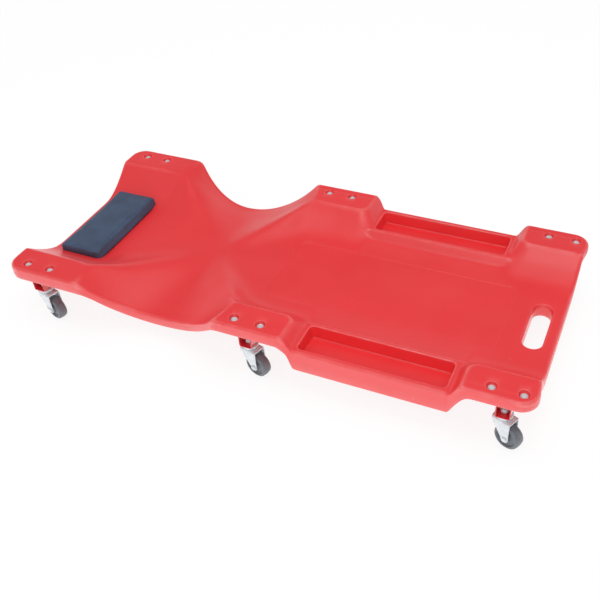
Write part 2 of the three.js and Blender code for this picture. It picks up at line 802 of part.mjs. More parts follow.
// The bracket's folded strip, drawn from the side as its centre line and given its sheet thickness
function bracketGeometry() {
  const top = tabUnder - seatGap;
  const outer = channelWidth / 2 + bracketSheet;
  const inner = channelWidth / 2;
  const reach = outer + flangeLength;
  const shape = new THREE.Shape();
  const roof = top - bracketSheet;
  const floorTop = bracketBase + bracketSheet;
  shape.moveTo(-reach, roof);
  shape.lineTo(-outer - bracketBend, roof);
  shape.lineTo(-outer, roof - bracketBend);
  shape.lineTo(-outer, bracketBase + bracketBend);
  shape.lineTo(-outer + bracketBend, bracketBase);
  shape.lineTo(outer - bracketBend, bracketBase);
  shape.lineTo(outer, bracketBase + bracketBend);
  shape.lineTo(outer, roof - bracketBend);
  shape.lineTo(outer + bracketBend, roof);
  shape.lineTo(reach, roof);
  shape.lineTo(reach, top);
  shape.lineTo(outer, top);
  shape.lineTo(inner, top - bracketBend);
  shape.lineTo(inner, floorTop + bracketInnerBend);
  shape.lineTo(inner - bracketInnerBend, floorTop);
  shape.lineTo(-inner + bracketInnerBend, floorTop);
  shape.lineTo(-inner, floorTop + bracketInnerBend);
  shape.lineTo(-inner, top - bracketBend);
  shape.lineTo(-outer, top);
  shape.lineTo(-reach, top);
  const strip = new THREE.ExtrudeGeometry(shape, { depth: bracketDepth, bevelEnabled: false, steps: 1 })
    .translate(0, 0, -bracketDepth / 2).rotateX(Math.PI / 2);
  const holes = [-1, 1].map((end) => post(boltHoleRadius, roof - cutOver, top + cutOver, holeSides)
    .translate(end * boltPitch / 2, 0, 0));
  const stemHole = post(stemHoleRadius, bracketBase - cutOver, floorTop + cutOver, stemSides);
  return cut(strip, [...holes, stemHole]);
}

const cupTop = bracketBase - seatGap;
const crownTop = cupTop - cupHeight - seatGap;
const crownLow = crownTop - forkSheet;

function stemGeometry() {
  const low = crownLow - seatGap - rivetHeadHeight;
  const high = bracketBase + bracketSheet + stemRise;
  return finished(turned([
    [0, low], [rivetHeadFootRadius, low], [rivetHeadRadius, low + rivetHeadEdge],
    [rivetHeadRadius, low + rivetHeadHeight], [stemRadius, low + rivetHeadHeight],
    [stemRadius, high], [0, high],
  ], stemSides));
}

function stemNutGeometry() {
  const low = bracketBase + bracketSheet + seatGap;
  const high = low + stemNutHeight;
  const bore = post(stemRadius + seatGap, low - cutOver, high + cutOver, stemSides);
  return cut(post(stemNutRadius, low, high, nutSides), [bore]);
}

function cupGeometry() {
  const low = cupTop - cupHeight;
  const bore = stemRadius + seatGap;
  return finished(turnedRing([
    [bore, low], [cupWaistRadius, low], [cupRadius, low + cupShoulder], [cupRadius, cupTop - cupShoulder],
    [cupLipRadius, cupTop], [bore, cupTop],
  ], cupSides));
}

const legInside = hubHalfWidth + wheelSideGap;

// The stamped fork: a crown plate with its corners cut off, and two legs that narrow to the axle
function forkGeometry() {
  const legOutside = legInside + forkSheet;
  const crown = new THREE.Shape();
  crown.moveTo(-forkRear, -legOutside + forkCornerCut);
  crown.lineTo(-forkRear + forkCornerCut, -legOutside);
  crown.lineTo(forkFront - forkSheet, -legOutside);
  crown.lineTo(forkFront, -legOutside + forkSheet);
  crown.lineTo(forkFront, legOutside - forkSheet);
  crown.lineTo(forkFront - forkSheet, legOutside);
  crown.lineTo(-forkRear + forkCornerCut, legOutside);
  crown.lineTo(-forkRear, legOutside - forkCornerCut);
  const plate = new THREE.ExtrudeGeometry(crown, { depth: forkSheet, bevelEnabled: false, steps: 1 })
    .translate(0, 0, crownLow);
  const leg = new THREE.Shape();
  const turns = legArcShares.map((share) => 2 * Math.PI * share);
  const shoulder = crownTop - forkShoulderDrop;
  leg.moveTo(-forkRear + forkCornerCut, crownTop);
  leg.lineTo(-forkRear + forkRearDrawIn, crownTop - forkSheet);
  leg.lineTo(-forkRear + 2 * forkRearDrawIn, shoulder);
  leg.absarc(wheelTrail, wheelRadius, forkAxleBoss, turns[0], turns[1], false);
  leg.lineTo(forkFront - forkFrontDrawIn, shoulder);
  leg.lineTo(forkFront - forkSheet, crownTop);
  const folded = { depth: forkSheet, bevelEnabled: false, steps: 1, curveSegments: legArcSteps };
  const legs = [legInside, -legInside - forkSheet].map((y) => (
    new THREE.ExtrudeGeometry(leg, folded).rotateX(Math.PI / 2).translate(0, y + forkSheet, 0)));
  const whole = joined([plate, ...legs]);
  const swivelBore = post(stemHoleRadius, crownLow - cutOver, crownTop + cutOver, stemSides);
  const axleBore = post(axleRadius + seatGap, -legOutside - cutOver, legOutside + cutOver, holeSides)
    .rotateX(Math.PI / 2).translate(wheelTrail, 0, wheelRadius);
  return cut(whole, [swivelBore, axleBore]);
}

function axleGeometry() {
  const face = legInside + forkSheet + seatGap;
  return finished(turned([
    [0, -face - axleHeadHeight], [axleHeadRadius - axleHeadDome, -face - axleHeadHeight],
    [axleHeadRadius, -face], [axleRadius, -face], [axleRadius, face], [axleHeadRadius, face],
    [axleHeadRadius - axleHeadDome, face + axleHeadHeight], [0, face + axleHeadHeight],
  ], boltSides).rotateX(Math.PI / 2).translate(wheelTrail, 0, wheelRadius));
}

function wheelGeometry() {
  const half = [
    [axleHoleRadius, hubHalfWidth], [hubRadius, hubHalfWidth], [webInnerRadius, webHalf],
    [webOuterRadius, webHalf], [rimLipRadius, treadHalfWidth], [treadEdgeRadius, treadShoulderHalf],
  ];
  const profile = [
    ...half.map(([r, y]) => [r, -y]), [wheelRadius, 0], ...half.slice().reverse(),
  ];
  return finished(turnedRing(profile, wheelSides)
    .rotateX(Math.PI / 2).translate(wheelTrail, 0, wheelRadius));
}

// One caster at its place: what is fixed to the deck, and a turned group with the fork and wheel
function caster({ name, x, side, angle }) {
  const group = new THREE.Group();
  group.position.set(x, side * casterHalfGauge, 0);
  group.add(named(`${name}_bracket`, bracketGeometry(), bracketFinish));
  for (const [label, end] of [['bolt_a', -1], ['bolt_b', 1]]) {
    const bolt = named(`${name}_${label}`, boltGeometry(), zincFinish);
    bolt.position.set(end * boltPitch / 2, 0, 0);
    group.add(bolt);
  }
  group.add(named(`${name}_stem`, stemGeometry(), zincFinish));
  group.add(named(`${name}_stem_nut`, stemNutGeometry(), zincFinish));
  group.add(named(`${name}_race_cup`, cupGeometry(), zincFinish));
  const swivel = new THREE.Group();
  swivel.rotation.z = rad(angle);
  swivel.add(named(`${name}_fork`, forkGeometry(), zincFinish));
  swivel.add(named(`${name}_axle`, axleGeometry(), zincFinish));
  swivel.add(named(`${name}_wheel`, wheelGeometry(), wheelFinish));
  group.add(swivel);
  return group;
}

const creeper = new THREE.Group();
creeper.add(named('deck', deckGeometry(), deckFinish));
creeper.add(headrest());
casterPlaces.forEach((place) => creeper.add(caster(place)));

export default creeper;
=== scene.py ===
# %% [markdown]
# # A mechanic's creeper
# The object is a moulded plastic board on six small casters, on which a mechanic lies on their back
# and rolls under a car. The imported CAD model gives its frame: this script loads it, lays finer
# surfaces over it and gives every surface its material. The frame is loaded first, because each
# piece then takes its place and its motion from a body of that frame.

# %% Load the frame
import bmesh
import bpy
import numpy as np
from mathutils import Matrix


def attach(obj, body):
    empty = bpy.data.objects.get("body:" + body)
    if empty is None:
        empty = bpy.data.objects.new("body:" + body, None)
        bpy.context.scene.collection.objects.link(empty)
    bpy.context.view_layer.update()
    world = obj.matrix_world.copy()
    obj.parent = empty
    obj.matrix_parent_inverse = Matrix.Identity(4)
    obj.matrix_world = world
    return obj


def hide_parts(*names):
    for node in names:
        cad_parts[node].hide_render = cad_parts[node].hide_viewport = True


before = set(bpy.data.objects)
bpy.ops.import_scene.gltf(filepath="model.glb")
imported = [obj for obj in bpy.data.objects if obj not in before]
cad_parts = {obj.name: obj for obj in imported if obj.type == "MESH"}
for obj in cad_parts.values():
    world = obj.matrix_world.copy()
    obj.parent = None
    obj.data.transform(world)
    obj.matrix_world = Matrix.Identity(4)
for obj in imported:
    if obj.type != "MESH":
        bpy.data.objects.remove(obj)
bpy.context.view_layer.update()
MM = 0.001

# %% [markdown]
# ## Camera
# A product photograph of this kind is taken from standing height with a long lens, so the edges
# hardly converge. The camera's place was worked out from the creeper itself: its twelve deck bolts,
# its long rims and its wheels give enough points in space to solve for place, turn and lens.

# %% Camera
camera = bpy.data.objects.new("camera", bpy.data.cameras.new("camera"))
bpy.context.scene.collection.objects.link(camera)
camera.matrix_world = Matrix((
    (0.9161707, -0.23952622, 0.32133851, 0.57275082),
    (0.39823342, 0.63443275, -0.66249923, -1.08120161),
    (-0.04518174, 0.73493011, 0.67663605, 1.02347307),
    (0, 0, 0, 1)))
camera.data.lens = 47.742
camera.data.sensor_width = 36
camera.data.shift_x = -0.04057
camera.data.shift_y = 0.05790
camera.data.clip_start = 0.01
bpy.context.scene.camera = camera

# %% [markdown]
# ## Colours and nodes
# Colours are written as they are read on a screen, in sRGB, and one function turns them into the
# linear values that a shader works with. One more function adds a node with its settings and its
# links, so that each material below reads as a list of what it is made of.


# %% Colour and node helpers
def linear(code):
    """Linear RGBA of an sRGB hex colour: each channel c becomes ((c + 0.055) / 1.055) ** 2.4."""
    c = np.array([int(code[i:i + 2], 16) / 255 for i in (1, 3, 5)])
    return (*np.where(c > 0.04045, ((c + 0.055) / 1.055) ** 2.4, c / 12.92).tolist(), 1.0)


def add(tree, kind, sockets=(), **settings):
    """Add one node with its settings. `sockets` lists values for its first inputs, or names inputs
    in a dictionary. A value is a number, a hex colour, or a socket to link. A node stands for its
    first output."""
    node = tree.nodes.new("ShaderNode" + kind)
    for key, value in settings.items():
        setattr(node, key, value)
    for key, value in sockets.items() if isinstance(sockets, dict) else enumerate(sockets):
        if isinstance(value, bpy.types.Node):
            value = value.outputs[0]
        if isinstance(value, bpy.types.NodeSocket):
            tree.links.new(value, node.inputs[key])
        else:
            node.inputs[key].default_value = linear(value) if isinstance(value, str) else value
    return node


def new_material(name):
    """An empty material, its node tree and the object coordinates, which are in metres."""
    material = bpy.data.materials.new(name)
    material.use_nodes = True
    tree = material.node_tree
    tree.nodes.clear()
    return material, tree, add(tree, "TexCoord").outputs["Object"]


# %% [markdown]
# ## Moulded plastic
# The deck is blow moulded from high-density polyethylene, a waxy plastic with an IOR of about 1.54.
# The mould is lightly blasted so that air can leave, which prints a fine grain on the skin, and the
# cooling shell sinks a little between its hard corners, which the eye reads as slow waves in the
# gloss. The grain is really about 0.2 mm, too fine for the picture, so it is drawn at 1.3 mm. Use
# adds a few pale scuffs and specks. The edges that stand out are painted paler: partly wear, where
# hands and clothes rub them, and partly a painted highlight along them. The lumps of a noise are
# about 600 / Scale mm across, so each Scale is written as 600 over their size. A mix of two colours
# takes its factor in socket 0 and the colours in 6 and 7, and gives its result in socket 2.

# %% Deck plastic
deck_plastic, tree, place = new_material("moulded_hdpe_red")
cloud = add(tree, "TexNoise", {"Vector": place, "Scale": 600 / 90, "Detail": 3})
cloud = add(tree, "MapRange", [cloud, 0.35, 0.65])
tone = add(tree, "Mix", {0: cloud, 6: "#e9282d", 7: "#ee2c31"}, data_type="RGBA").outputs[2]
drawn_out = add(tree, "Mapping", {"Vector": place, "Scale": (1 / 3, 1 / 0.09, 1)})
scratches = add(tree, "TexNoise", {"Vector": drawn_out, "Scale": 600 / 26, "Detail": 4})
scratches = add(tree, "MapRange", [scratches, 0.735, 0.76])
worn = add(tree, "TexNoise", {"Vector": place, "Scale": 600 / 70})
worn = add(tree, "MapRange", [worn, 0.5, 0.62, 0, 0.3])
scuffs = add(tree, "Math", [scratches, worn], operation="MULTIPLY")
tone = add(tree, "Mix", {0: scuffs, 6: tone, 7: "#f08a86"}, data_type="RGBA").outputs[2]
specks = add(tree, "TexVoronoi", {"Vector": place, "Scale": 24})
specks = add(tree, "MapRange", [specks, 0.012, 0.03, 0.55, 0])
tone = add(tree, "Mix", {0: specks, 6: tone, 7: "#f3a9a4"}, data_type="RGBA").outputs[2]
# Painted highlight and wear: edges that stand out are mixed towards a pale pink.
edges = add(tree, "Attribute", attribute_name="rubbed_and_highlight").outputs["Fac"]
patchy = add(tree, "TexNoise", {"Vector": place, "Scale": 600 / 14, "Detail": 3})
patchy = add(tree, "MapRange", [patchy, 0.35, 0.65, 0.12, 0.28])
edge_wear_and_highlight = add(tree, "Math", [edges, patchy], operation="MULTIPLY")
tone = add(tree, "Mix", {0: edge_wear_and_highlight, 6: tone, 7: "#f7b0ae"}, data_type="RGBA").outputs[2]
gloss = add(tree, "TexNoise", {"Vector": place, "Scale": 600 / 35, "Detail": 4})
waves = add(tree, "TexNoise", {"Vector": place, "Scale": 600 / 55, "Detail": 1})
waves = add(tree, "Bump", {"Height": waves, "Distance": 0.5 * MM})
grain = add(tree, "TexNoise", {"Vector": place, "Scale": 600 / 1.3})
add(tree, "OutputMaterial", [add(tree, "BsdfPrincipled", {
    "Base Color": tone, "IOR": 1.54, "Specular IOR Level": 1.0,
    "Roughness": add(tree, "MapRange", [gloss, 0.3, 0.7, 0.36, 0.44]),
    "Normal": add(tree, "Bump", {"Height": grain, "Distance": 0.035 * MM, "Normal": waves})})])

# %% [markdown]
# ## Steel, paint, plastic and vinyl
# The casters' forks, race cups, nuts and bolts are mild steel with bright zinc plating: a pale blue
# grey metal whose plating bath leaves faint clouds. The brackets are the same steel under red
# stoving enamel, glossy with a slight orange peel. The wheels are dark grey polypropylene, matt
# where they roll. The headrest is covered in slate blue vinyl with an embossed leather grain, on a
# board of plain plywood.

# %% Zinc plate
zinc_plate, tree, place = new_material("zinc_plated_steel")
cloud = add(tree, "TexNoise", {"Vector": place, "Scale": 600 / 5, "Detail": 4, "Roughness": 0.6})
cloud = add(tree, "MapRange", [cloud, 0.3, 0.7])
gloss = add(tree, "TexNoise", {"Vector": place, "Scale": 600 / 2.2, "Detail": 4})
relief = add(tree, "TexNoise", {"Vector": place, "Scale": 600 / 1.2, "Detail": 3})
tone = add(tree, "Mix", {0: cloud, 6: "#cfd6da", 7: "#e2e7eb"}, data_type="RGBA").outputs[2]
add(tree, "OutputMaterial", [add(tree, "BsdfPrincipled", {
    "Base Color": tone, "Metallic": 0.35,
    "Roughness": add(tree, "MapRange", [gloss, 0.3, 0.7, 0.44, 0.58]),
    "Normal": add(tree, "Bump", {"Height": relief, "Distance": 0.02 * MM})})])

# %% Bracket enamel
bracket_paint, tree, place = new_material("red_stoving_enamel")
cloud = add(tree, "TexNoise", {"Vector": place, "Scale": 600 / 9})
cloud = add(tree, "MapRange", [cloud, 0.3, 0.7])
tone = add(tree, "Mix", {0: cloud, 6: "#cc212a", 7: "#dc2c35"}, data_type="RGBA").outputs[2]
chips = add(tree, "TexNoise", {"Vector": place, "Scale": 600 / 3, "Detail": 5})
chips = add(tree, "MapRange", [chips, 0.70, 0.74])
tone = add(tree, "Mix", {0: chips, 6: tone, 7: "#8f1016"}, data_type="RGBA").outputs[2]
peel = add(tree, "TexNoise", {"Vector": place, "Scale": 600 / 1.6, "Detail": 1})
add(tree, "OutputMaterial", [add(tree, "BsdfPrincipled", {
    "Base Color": tone, "Roughness": 0.3, "Coat Weight": 0.4, "Coat Roughness": 0.12,
    "Normal": add(tree, "Bump", {"Height": peel, "Distance": 0.015 * MM})})])

# %% Wheel plastic
wheel_plastic, tree, place = new_material("moulded_grey_polypropylene")
dust = add(tree, "TexNoise", {"Vector": place, "Scale": 600 / 6, "Detail": 5, "Roughness": 0.65})
dusty = add(tree, "MapRange", [dust, 0.35, 0.75])
tone = add(tree, "Mix", {0: dusty, 6: "#62676d", 7: "#7b8086"}, data_type="RGBA").outputs[2]
relief = add(tree, "TexNoise", {"Vector": place, "Scale": 600 / 0.8, "Detail": 3})
add(tree, "OutputMaterial", [add(tree, "BsdfPrincipled", {
    "Base Color": tone, "Roughness": add(tree, "MapRange", [dust, 0.3, 0.7, 0.42, 0.6]),
    "Normal": add(tree, "Bump", {"Height": relief, "Distance": 0.02 * MM})})])

# %% Headrest vinyl
headrest_vinyl, tree, place = new_material("embossed_vinyl_slate_blue")
cloud = add(tree, "TexNoise", {"Vector": place, "Scale": 600 / 22, "Detail": 3})
cloud = add(tree, "MapRange", [cloud, 0.3, 0.7])
tone = add(tree, "Mix", {0: cloud, 6: "#394b65", 7: "#445875"}, data_type="RGBA").outputs[2]
leather = add(tree, "TexVoronoi", {"Vector": place, "Scale": 400}, feature="DISTANCE_TO_EDGE")
hills = add(tree, "MapRange", [leather, 0, 0.12])
valleys = add(tree, "MapRange", [hills, 0, 1, 0.75, 0])
tone = add(tree, "Mix", {0: valleys, 6: tone, 7: "#2f3d53"}, data_type="RGBA").outputs[2]
emboss = add(tree, "Bump", {"Height": hills, "Distance": 0.14 * MM})
dents = add(tree, "TexNoise", {"Vector": place, "Scale": 600 / 9})
add(tree, "OutputMaterial", [add(tree, "BsdfPrincipled", {
    "Base Color": tone, "Roughness": 0.62, "Sheen Weight": 0.08,
    "Normal": add(tree, "Bump", {"Height": dents, "Distance": 0.12 * MM, "Normal": emboss})})])

# %% Headrest board
headrest_board, tree, place = new_material("birch_plywood")
drawn_out = add(tree, "Mapping", {"Vector": place, "Scale": (1, 1 / 9, 1 / 0.4)})
rings = add(tree, "TexNoise", {"Vector": drawn_out, "Scale": 600 / 3, "Detail": 4})
cloud = add(tree, "MapRange", [rings, 0.35, 0.65])
tone = add(tree, "Mix", {0: cloud, 6: "#8a6b48", 7: "#a88860"}, data_type="RGBA").outputs[2]
add(tree, "OutputMaterial", [add(tree, "BsdfPrincipled", {
    "Base Color": tone, "Roughness": 0.8,
    "Normal": add(tree, "Bump", {"Height": rings, "Distance": 0.05 * MM})})])

# %% [markdown]
# ## Meshes from arrays
# Every new piece is a set of patches, and a patch is a grid of points worked out as whole arrays:
# position = f(u, v). Neighbouring patches share their border points, so welding them gives one
# closed skin. Lengths are millimetres until a mesh is made.


# %% Grid and piece helpers
def grid(points):
    """Quads of points[i, j, xyz]. Their faces look along du x dv."""
    n, m = points.shape[:2]
    i, j = np.mgrid[0:n - 1, 0:m - 1]
    a = (i * m + j).ravel()
    return points.reshape(-1, 3), np.stack([a, a + m, a + m + 1, a + 1], axis=1)


def closed(loop):
    """A loop of points with its first one repeated at the end."""
    return np.concatenate([loop, loop[:1]])


def new_piece(name, patches, material, body, nodes, sharp_deg=35):
    """Weld patches into one closed mesh in metres, and hang it on a body of the frame in place of
    its CAD nodes."""
    points, quads, base = [], [], 0
    for p, q in patches:
        points.append(p)
        quads.append(q + base)
        base += len(p)
    mesh = bpy.data.meshes.new(name)
    mesh.from_pydata((np.concatenate(points) * MM).tolist(), [], np.concatenate(quads).tolist())
    work = bmesh.new()
    work.from_mesh(mesh)
    loose = [v for v in work.verts if not v.link_faces]
    bmesh.ops.delete(work, geom=loose, context="VERTS")
    bmesh.ops.remove_doubles(work, verts=work.verts, dist=2e-6)
    bmesh.ops.recalc_face_normals(work, faces=work.faces)
    open_edges = sum(1 for e in work.edges if len(e.link_faces) != 2)
    work.to_mesh(mesh)
    work.free()
    mesh.shade_smooth()
    mesh.set_sharp_from_angle(angle=np.radians(sharp_deg))
    mesh.materials.append(material)
    piece = bpy.data.objects.new(name, mesh)
    bpy.context.scene.collection.objects.link(piece)
    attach(piece, body)
    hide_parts(*nodes)
    if open_edges:
        print("open edges", name, open_edges)
    return piece


def mesh_points(mesh):
    """The mesh's points in mm."""
    flat = np.empty(len(mesh.vertices) * 3)
    mesh.vertices.foreach_get("co", flat)
    return flat.reshape(-1, 3) / MM


def mix(a, b, t):
    """From a at t = 0 to b at t = 1."""
    return a + (b - a) * t


def eased(t):
    """A rise from 0 to 1 that starts and ends level: half a cosine wave."""
    return (1 - np.cos(np.pi * np.clip(t, 0, 1))) / 2


# %% [markdown]
# ## The deck's shape
# The deck is one hollow shell: a lying panel between two long walls, six raised tabs that stand on
# the casters, arm cut-outs that dip between the tabs, and two tool trays. Seen from above, each
# place has one height, so the top is a function z = f(x, y), and so is the underside. A function of
# this kind has hard creases where its parts meet. The real mould has soft ones, so each height is
# an average over a small disc, and a wider disc gives a softer crease.

# %% Deck lengths, in mm
LENGTH, WIDTH, TAB_TOP = 1016.0, 468.0, 120.0
HALF_LENGTH, HALF_WIDTH = LENGTH / 2, WIDTH / 2
CORNER, EDGE = 30.0, 6.5
SKIRT_WALL = 4.6
PANEL_TOP, SEAT_TOP, WAIST_TOP, LEDGE_TOP = 76.0, 69.5, 72.5, 93.5
TAB_UNDER, PANEL_UNDER, SEAT_UNDER, WAIST_UNDER, TRAY_UNDER = 100.0, 53.0, 49.5, 52.5, 50.0
RIM_DEPTH = TAB_TOP - TAB_UNDER
TAB_INNER, PANEL_FLAT, SEAT_FLAT, LEDGE_INNER = 172.0, 97.0, 88.0, 149.5
TRAY_RIM = 229.5
HEAD_END, HEAD_INNER_END = -342.0, -353.0
MIDDLE_START, MIDDLE_INNER_START, MIDDLE_END = -54.5, -37.5, 76.0
FOOT_START = 389.0
DIP_X, DIP_BITE, DIP_TOP, WAIST_X = -210.9, 38.0, 50.0, -177.6
UNDER_SHIFT = 1 + 14.0 / TAB_INNER
RIM, BEND = HALF_WIDTH - EDGE, CORNER - EDGE
TAB_CORNER, TAB_END_RUN, LEDGE_RUN = 16.0, 18.5, 12.0
BEAD_IN, BEAD_WIDTH = 8.5, 2.2
PANEL_POWER, CORNER_POWER, SEAT_POWER = 2.4, 1.8, 1.45


# %% Heights of the deck
def climb(distance, span, rise):
    """Height on an arc that starts level at 0 and has risen by `rise` at `span`."""
    radius = (span ** 2 + rise ** 2) / (2 * rise)
    return radius - np.sqrt(radius ** 2 - np.clip(np.abs(distance), 0, span) ** 2)


def cutout_rim(x):
    """Half width and height of the arm cut-out's rim, two arcs that start at its lowest place."""
    span = np.where(x < DIP_X, DIP_X - HEAD_END, MIDDLE_START - DIP_X)
    half = RIM - DIP_BITE + climb(x - DIP_X, span, DIP_BITE)
    return half, DIP_TOP + climb(x - DIP_X, span, TAB_TOP - DIP_TOP)


def beside_tray(x):
    """1 beside a tray and 0 beside the tabs, with a soft change over each tab's end wall."""
    return eased((x - MIDDLE_END) / TAB_END_RUN) * eased((FOOT_START - x) / 21.5)


def shoulder_place(x, y, corner, tab_end, shift):
    """Shares along and across the shoulder at a place: the lines of equal share run straight from
    the crease (corner to waist) to the rim (tab end to dip), solved by repeated substitution."""
    s = (x - corner) / (WAIST_X - corner)
    for _ in range(12):
        held = np.clip(s, 0, 1)
        edge = TAB_INNER * (1 - held) * shift
        rim, _ = cutout_rim(mix(tab_end, DIP_X, held))
        f = np.clip((y - edge) / (rim - edge), 0, 1)
        start, end = mix(corner, tab_end, f), mix(WAIST_X, DIP_X, f)
        s = (x - start) / (end - start)
    return s, f


def tab_height(along, y, ledge, power):
    """A tab with a rounded plan corner: `along` is measured from its end wall's top edge. Towards
    the panel it falls on a hollow wall, and towards the tray's ledge on a soft S."""
    ex = np.maximum(along + TAB_CORNER, 0)
    ey = np.maximum(TAB_INNER + TAB_CORNER - y, 0)
    reach = np.hypot(ex, ey)
    away = np.where(reach > 0, ex / np.maximum(reach, 1e-6), 0) ** 2
    run = mix(TAB_INNER - PANEL_FLAT, TAB_END_RUN, away)
    left = 1 - np.clip((reach - TAB_CORNER) / run, 0, 1)
    shape = mix(left ** power, mix(left, eased(left), 0.6), away)
    base = mix(PANEL_TOP, ledge, away)
    return base + (TAB_TOP - base) * shape


def bead(x, y):
    """A shallow furrow inside the rim, which leaves the rim as a rounded bead: -depth *
    exp(-((d - 8.5) / 2.2)^2), d mm from the rim. It is deepest on the middle and foot tabs, runs
    on along the arm cut-outs at half that depth, and stops at the trays."""
    side, end = cutout_rim(x)[0] - y, HALF_LENGTH - EDGE - x
    corner = BEND - np.hypot(np.maximum(BEND - side, 0), np.maximum(BEND - end, 0))
    d = np.where((side < BEND) & (end < BEND), corner, np.minimum(side, end))
    from_cutout = eased((x + 62) / 20)
    on_tab = eased((y - 165) / 12) * from_cutout
    on_cutout = eased((y - 150) / 12) * eased((x + 352) / 20) * (1 - from_cutout)
    by_tray = eased((x - 60) / 16) * eased((405 - x) / 16)
    depth = (1.1 * on_tab + 0.5 * on_cutout) * (1 - by_tray)
    return -depth * np.exp(-((d - BEAD_IN) / BEAD_WIDTH) ** 2)


def foot_half_height(x, y):
    """Panel, tray ledges and the middle and foot tabs: the highest of them at each place."""
    ledge = eased((y - LEDGE_INNER + LEDGE_RUN) / LEDGE_RUN)
    ledge = ledge * eased((x - 20) / 30) * eased((470 - x) / 30)
    ledge = PANEL_TOP + (LEDGE_TOP - PANEL_TOP) * ledge
    power = mix(CORNER_POWER, PANEL_POWER, eased((x - MIDDLE_INNER_START) / 60))
    tabs = np.maximum(tab_height(x - MIDDLE_END, y, ledge, power),
                      tab_height(FOOT_START - x, y, ledge, PANEL_POWER))
    return np.maximum(ledge, tabs)


def shoulders(x, y, shift, power, tab, seat, panel, waist):
    """What both skins share: whether a place is on the head's side of the waist, its free and its
    held share along the shoulder, its share across, whether it is inside the shoulder's edge, the
    heights of that edge and of the rim, and the heights of the trough and of the head seat."""
    sh, fh = shoulder_place(x, y, HEAD_INNER_END, HEAD_END, shift)
    sm, fm = shoulder_place(x, y, MIDDLE_INNER_START, MIDDLE_START, shift)
    head = sh < 1
    share = np.where(head, sh, sm)
    s = np.clip(share, 0, 1)
    edge, edge_top = TAB_INNER * (1 - s) * shift, mix(tab, waist, s)
    flat = np.where(head, SEAT_FLAT, PANEL_FLAT) * (1 - s) * shift
    floor = mix(np.where(head, seat, panel), waist, s)
    t = np.clip((y - flat) / np.maximum(edge - flat, 1), 0, 1)
    trough = floor + (edge_top - floor) * t ** mix(np.where(head, SEAT_POWER, power), 1.3, s)
    t = np.clip((y - SEAT_FLAT * shift) / ((TAB_INNER - SEAT_FLAT) * shift), 0, 1)
    rim_top = cutout_rim(mix(np.where(head, HEAD_END, MIDDLE_START), DIP_X, s))[1]
    return (head, share, s, np.where(head, fh, fm), y < edge, edge_top, rim_top, trough,
            seat + (tab - seat) * t ** SEAT_POWER)


def crisp_top(x, y):
    """Top height before its creases are softened."""
    y = np.abs(y)
    head, share, s, f, inner, edge_top, rim_top, trough, seat = shoulders(
        x, y, 1.0, CORNER_POWER, TAB_TOP, SEAT_TOP, PANEL_TOP, WAIST_TOP)
    sag = np.where(head, 2 * np.sin(np.pi * s), 2.5 * np.sin(np.pi * s ** 0.7))
    lobe = mix(edge_top, rim_top, f) - sag * np.sin(np.pi * f) ** 2
    straight = np.where(head, seat, foot_half_height(x, y))
    return np.where(share < 0, straight, np.where(inner, trough, lobe)) + bead(x, y)


def crisp_under(x, y):
    """Underside height before its creases are softened. They lie further out than the top's, so
    that the shell is as thick across a slope as on the flat."""
    y = np.abs(y)
    head, share, s, f, inner, edge_under, rim_top, trough, seat = shoulders(
        x, y, UNDER_SHIFT, PANEL_POWER, TAB_UNDER, SEAT_UNDER, PANEL_UNDER, WAIST_UNDER)
    lobe = mix(edge_under, rim_top - RIM_DEPTH, f)
    t = np.clip((y - PANEL_FLAT * UNDER_SHIFT) / ((TAB_INNER - PANEL_FLAT) * UNDER_SHIFT), 0, 1)
    tab = PANEL_UNDER + (TAB_UNDER - PANEL_UNDER) * t ** PANEL_POWER
    tray = mix(PANEL_UNDER, TRAY_UNDER, np.clip((y - LEDGE_INNER) / (RIM - LEDGE_INNER), 0, 1))
    straight = np.where(head, seat, mix(tab, tray, beside_tray(x)))
    return np.where(share < 0, straight, np.where(inner, trough, lobe))


def softened(height, x, y, reach, steps):
    """Mean of a height over a disc: samples at steps x steps offsets, up to twice the reach away,
    each weighted by exp(-r^2 / 2) with r in units of the reach."""
    total = np.zeros(np.shape(x))
    weight = 0.0
    for a in np.linspace(-2, 2, steps):
        for b in np.linspace(-2, 2, steps):
            w = np.exp(-(a * a + b * b) / 2)
            total += w * height(x + a * reach, y + b * reach)
            weight += w
    return total / weight


def near(gap, width):
    """1 at no gap, and less on a bell curve: exp(-(gap / width)^2)."""
    return np.exp(-(gap / width) ** 2)


def top_height(x, y):
    """Softened top. Tabs and rims stay crisp, with creases of about 2 mm. The creases of the
    shoulders widen to about 14 mm with their distance from the tabs, and to 23 mm on the head's
    side of the waist. Some places where creases meet are softened a little more."""
    half = np.abs(y)
    inwards, from_rim = np.maximum(TAB_INNER - half, 0), cutout_rim(x)[0] - half
    to_head = np.hypot(np.maximum(x - HEAD_END, 0), inwards)
    to_middle = np.hypot(np.maximum(MIDDLE_START - x, 0), inwards)
    spread = eased(np.minimum(to_head / 40, to_middle / 100)) * eased(from_rim / 36)
    spread = spread * eased((x + 375) / 25) * eased((30 - x) / 60)
    head_side = eased((to_head - 25) / 50) * eased((WAIST_X + 25 - x) / 60)
    head_side = head_side * eased((from_rim - 12) / 46)
    head_corner = near(np.hypot(x - HEAD_INNER_END, half - TAB_INNER), 22.63)
    head_foot = near(x - HEAD_END, 14) * np.clip((half - TAB_INNER) / 20, 0, 1)
    fan = near(x - MIDDLE_INNER_START, 30) * eased((168 - half) / 16) * eased(half / 60)
    turned_in = near(np.hypot(x - MIDDLE_INNER_START - 4, half - 158), 25.46)
    turned_in = turned_in * eased((178 - half) / 22)
    reach = (2.2 + 12 * spread + 9 * head_side + 6 * head_corner + 3.5 * head_foot
             + (6 * fan + 8 * turned_in) * (1 - spread))
    return softened(crisp_top, x, y, reach, 9)


def under_height(x, y):
    """Softened underside, with creases of 3 mm throughout."""
    return softened(crisp_under, x, y, 3.0, 3)


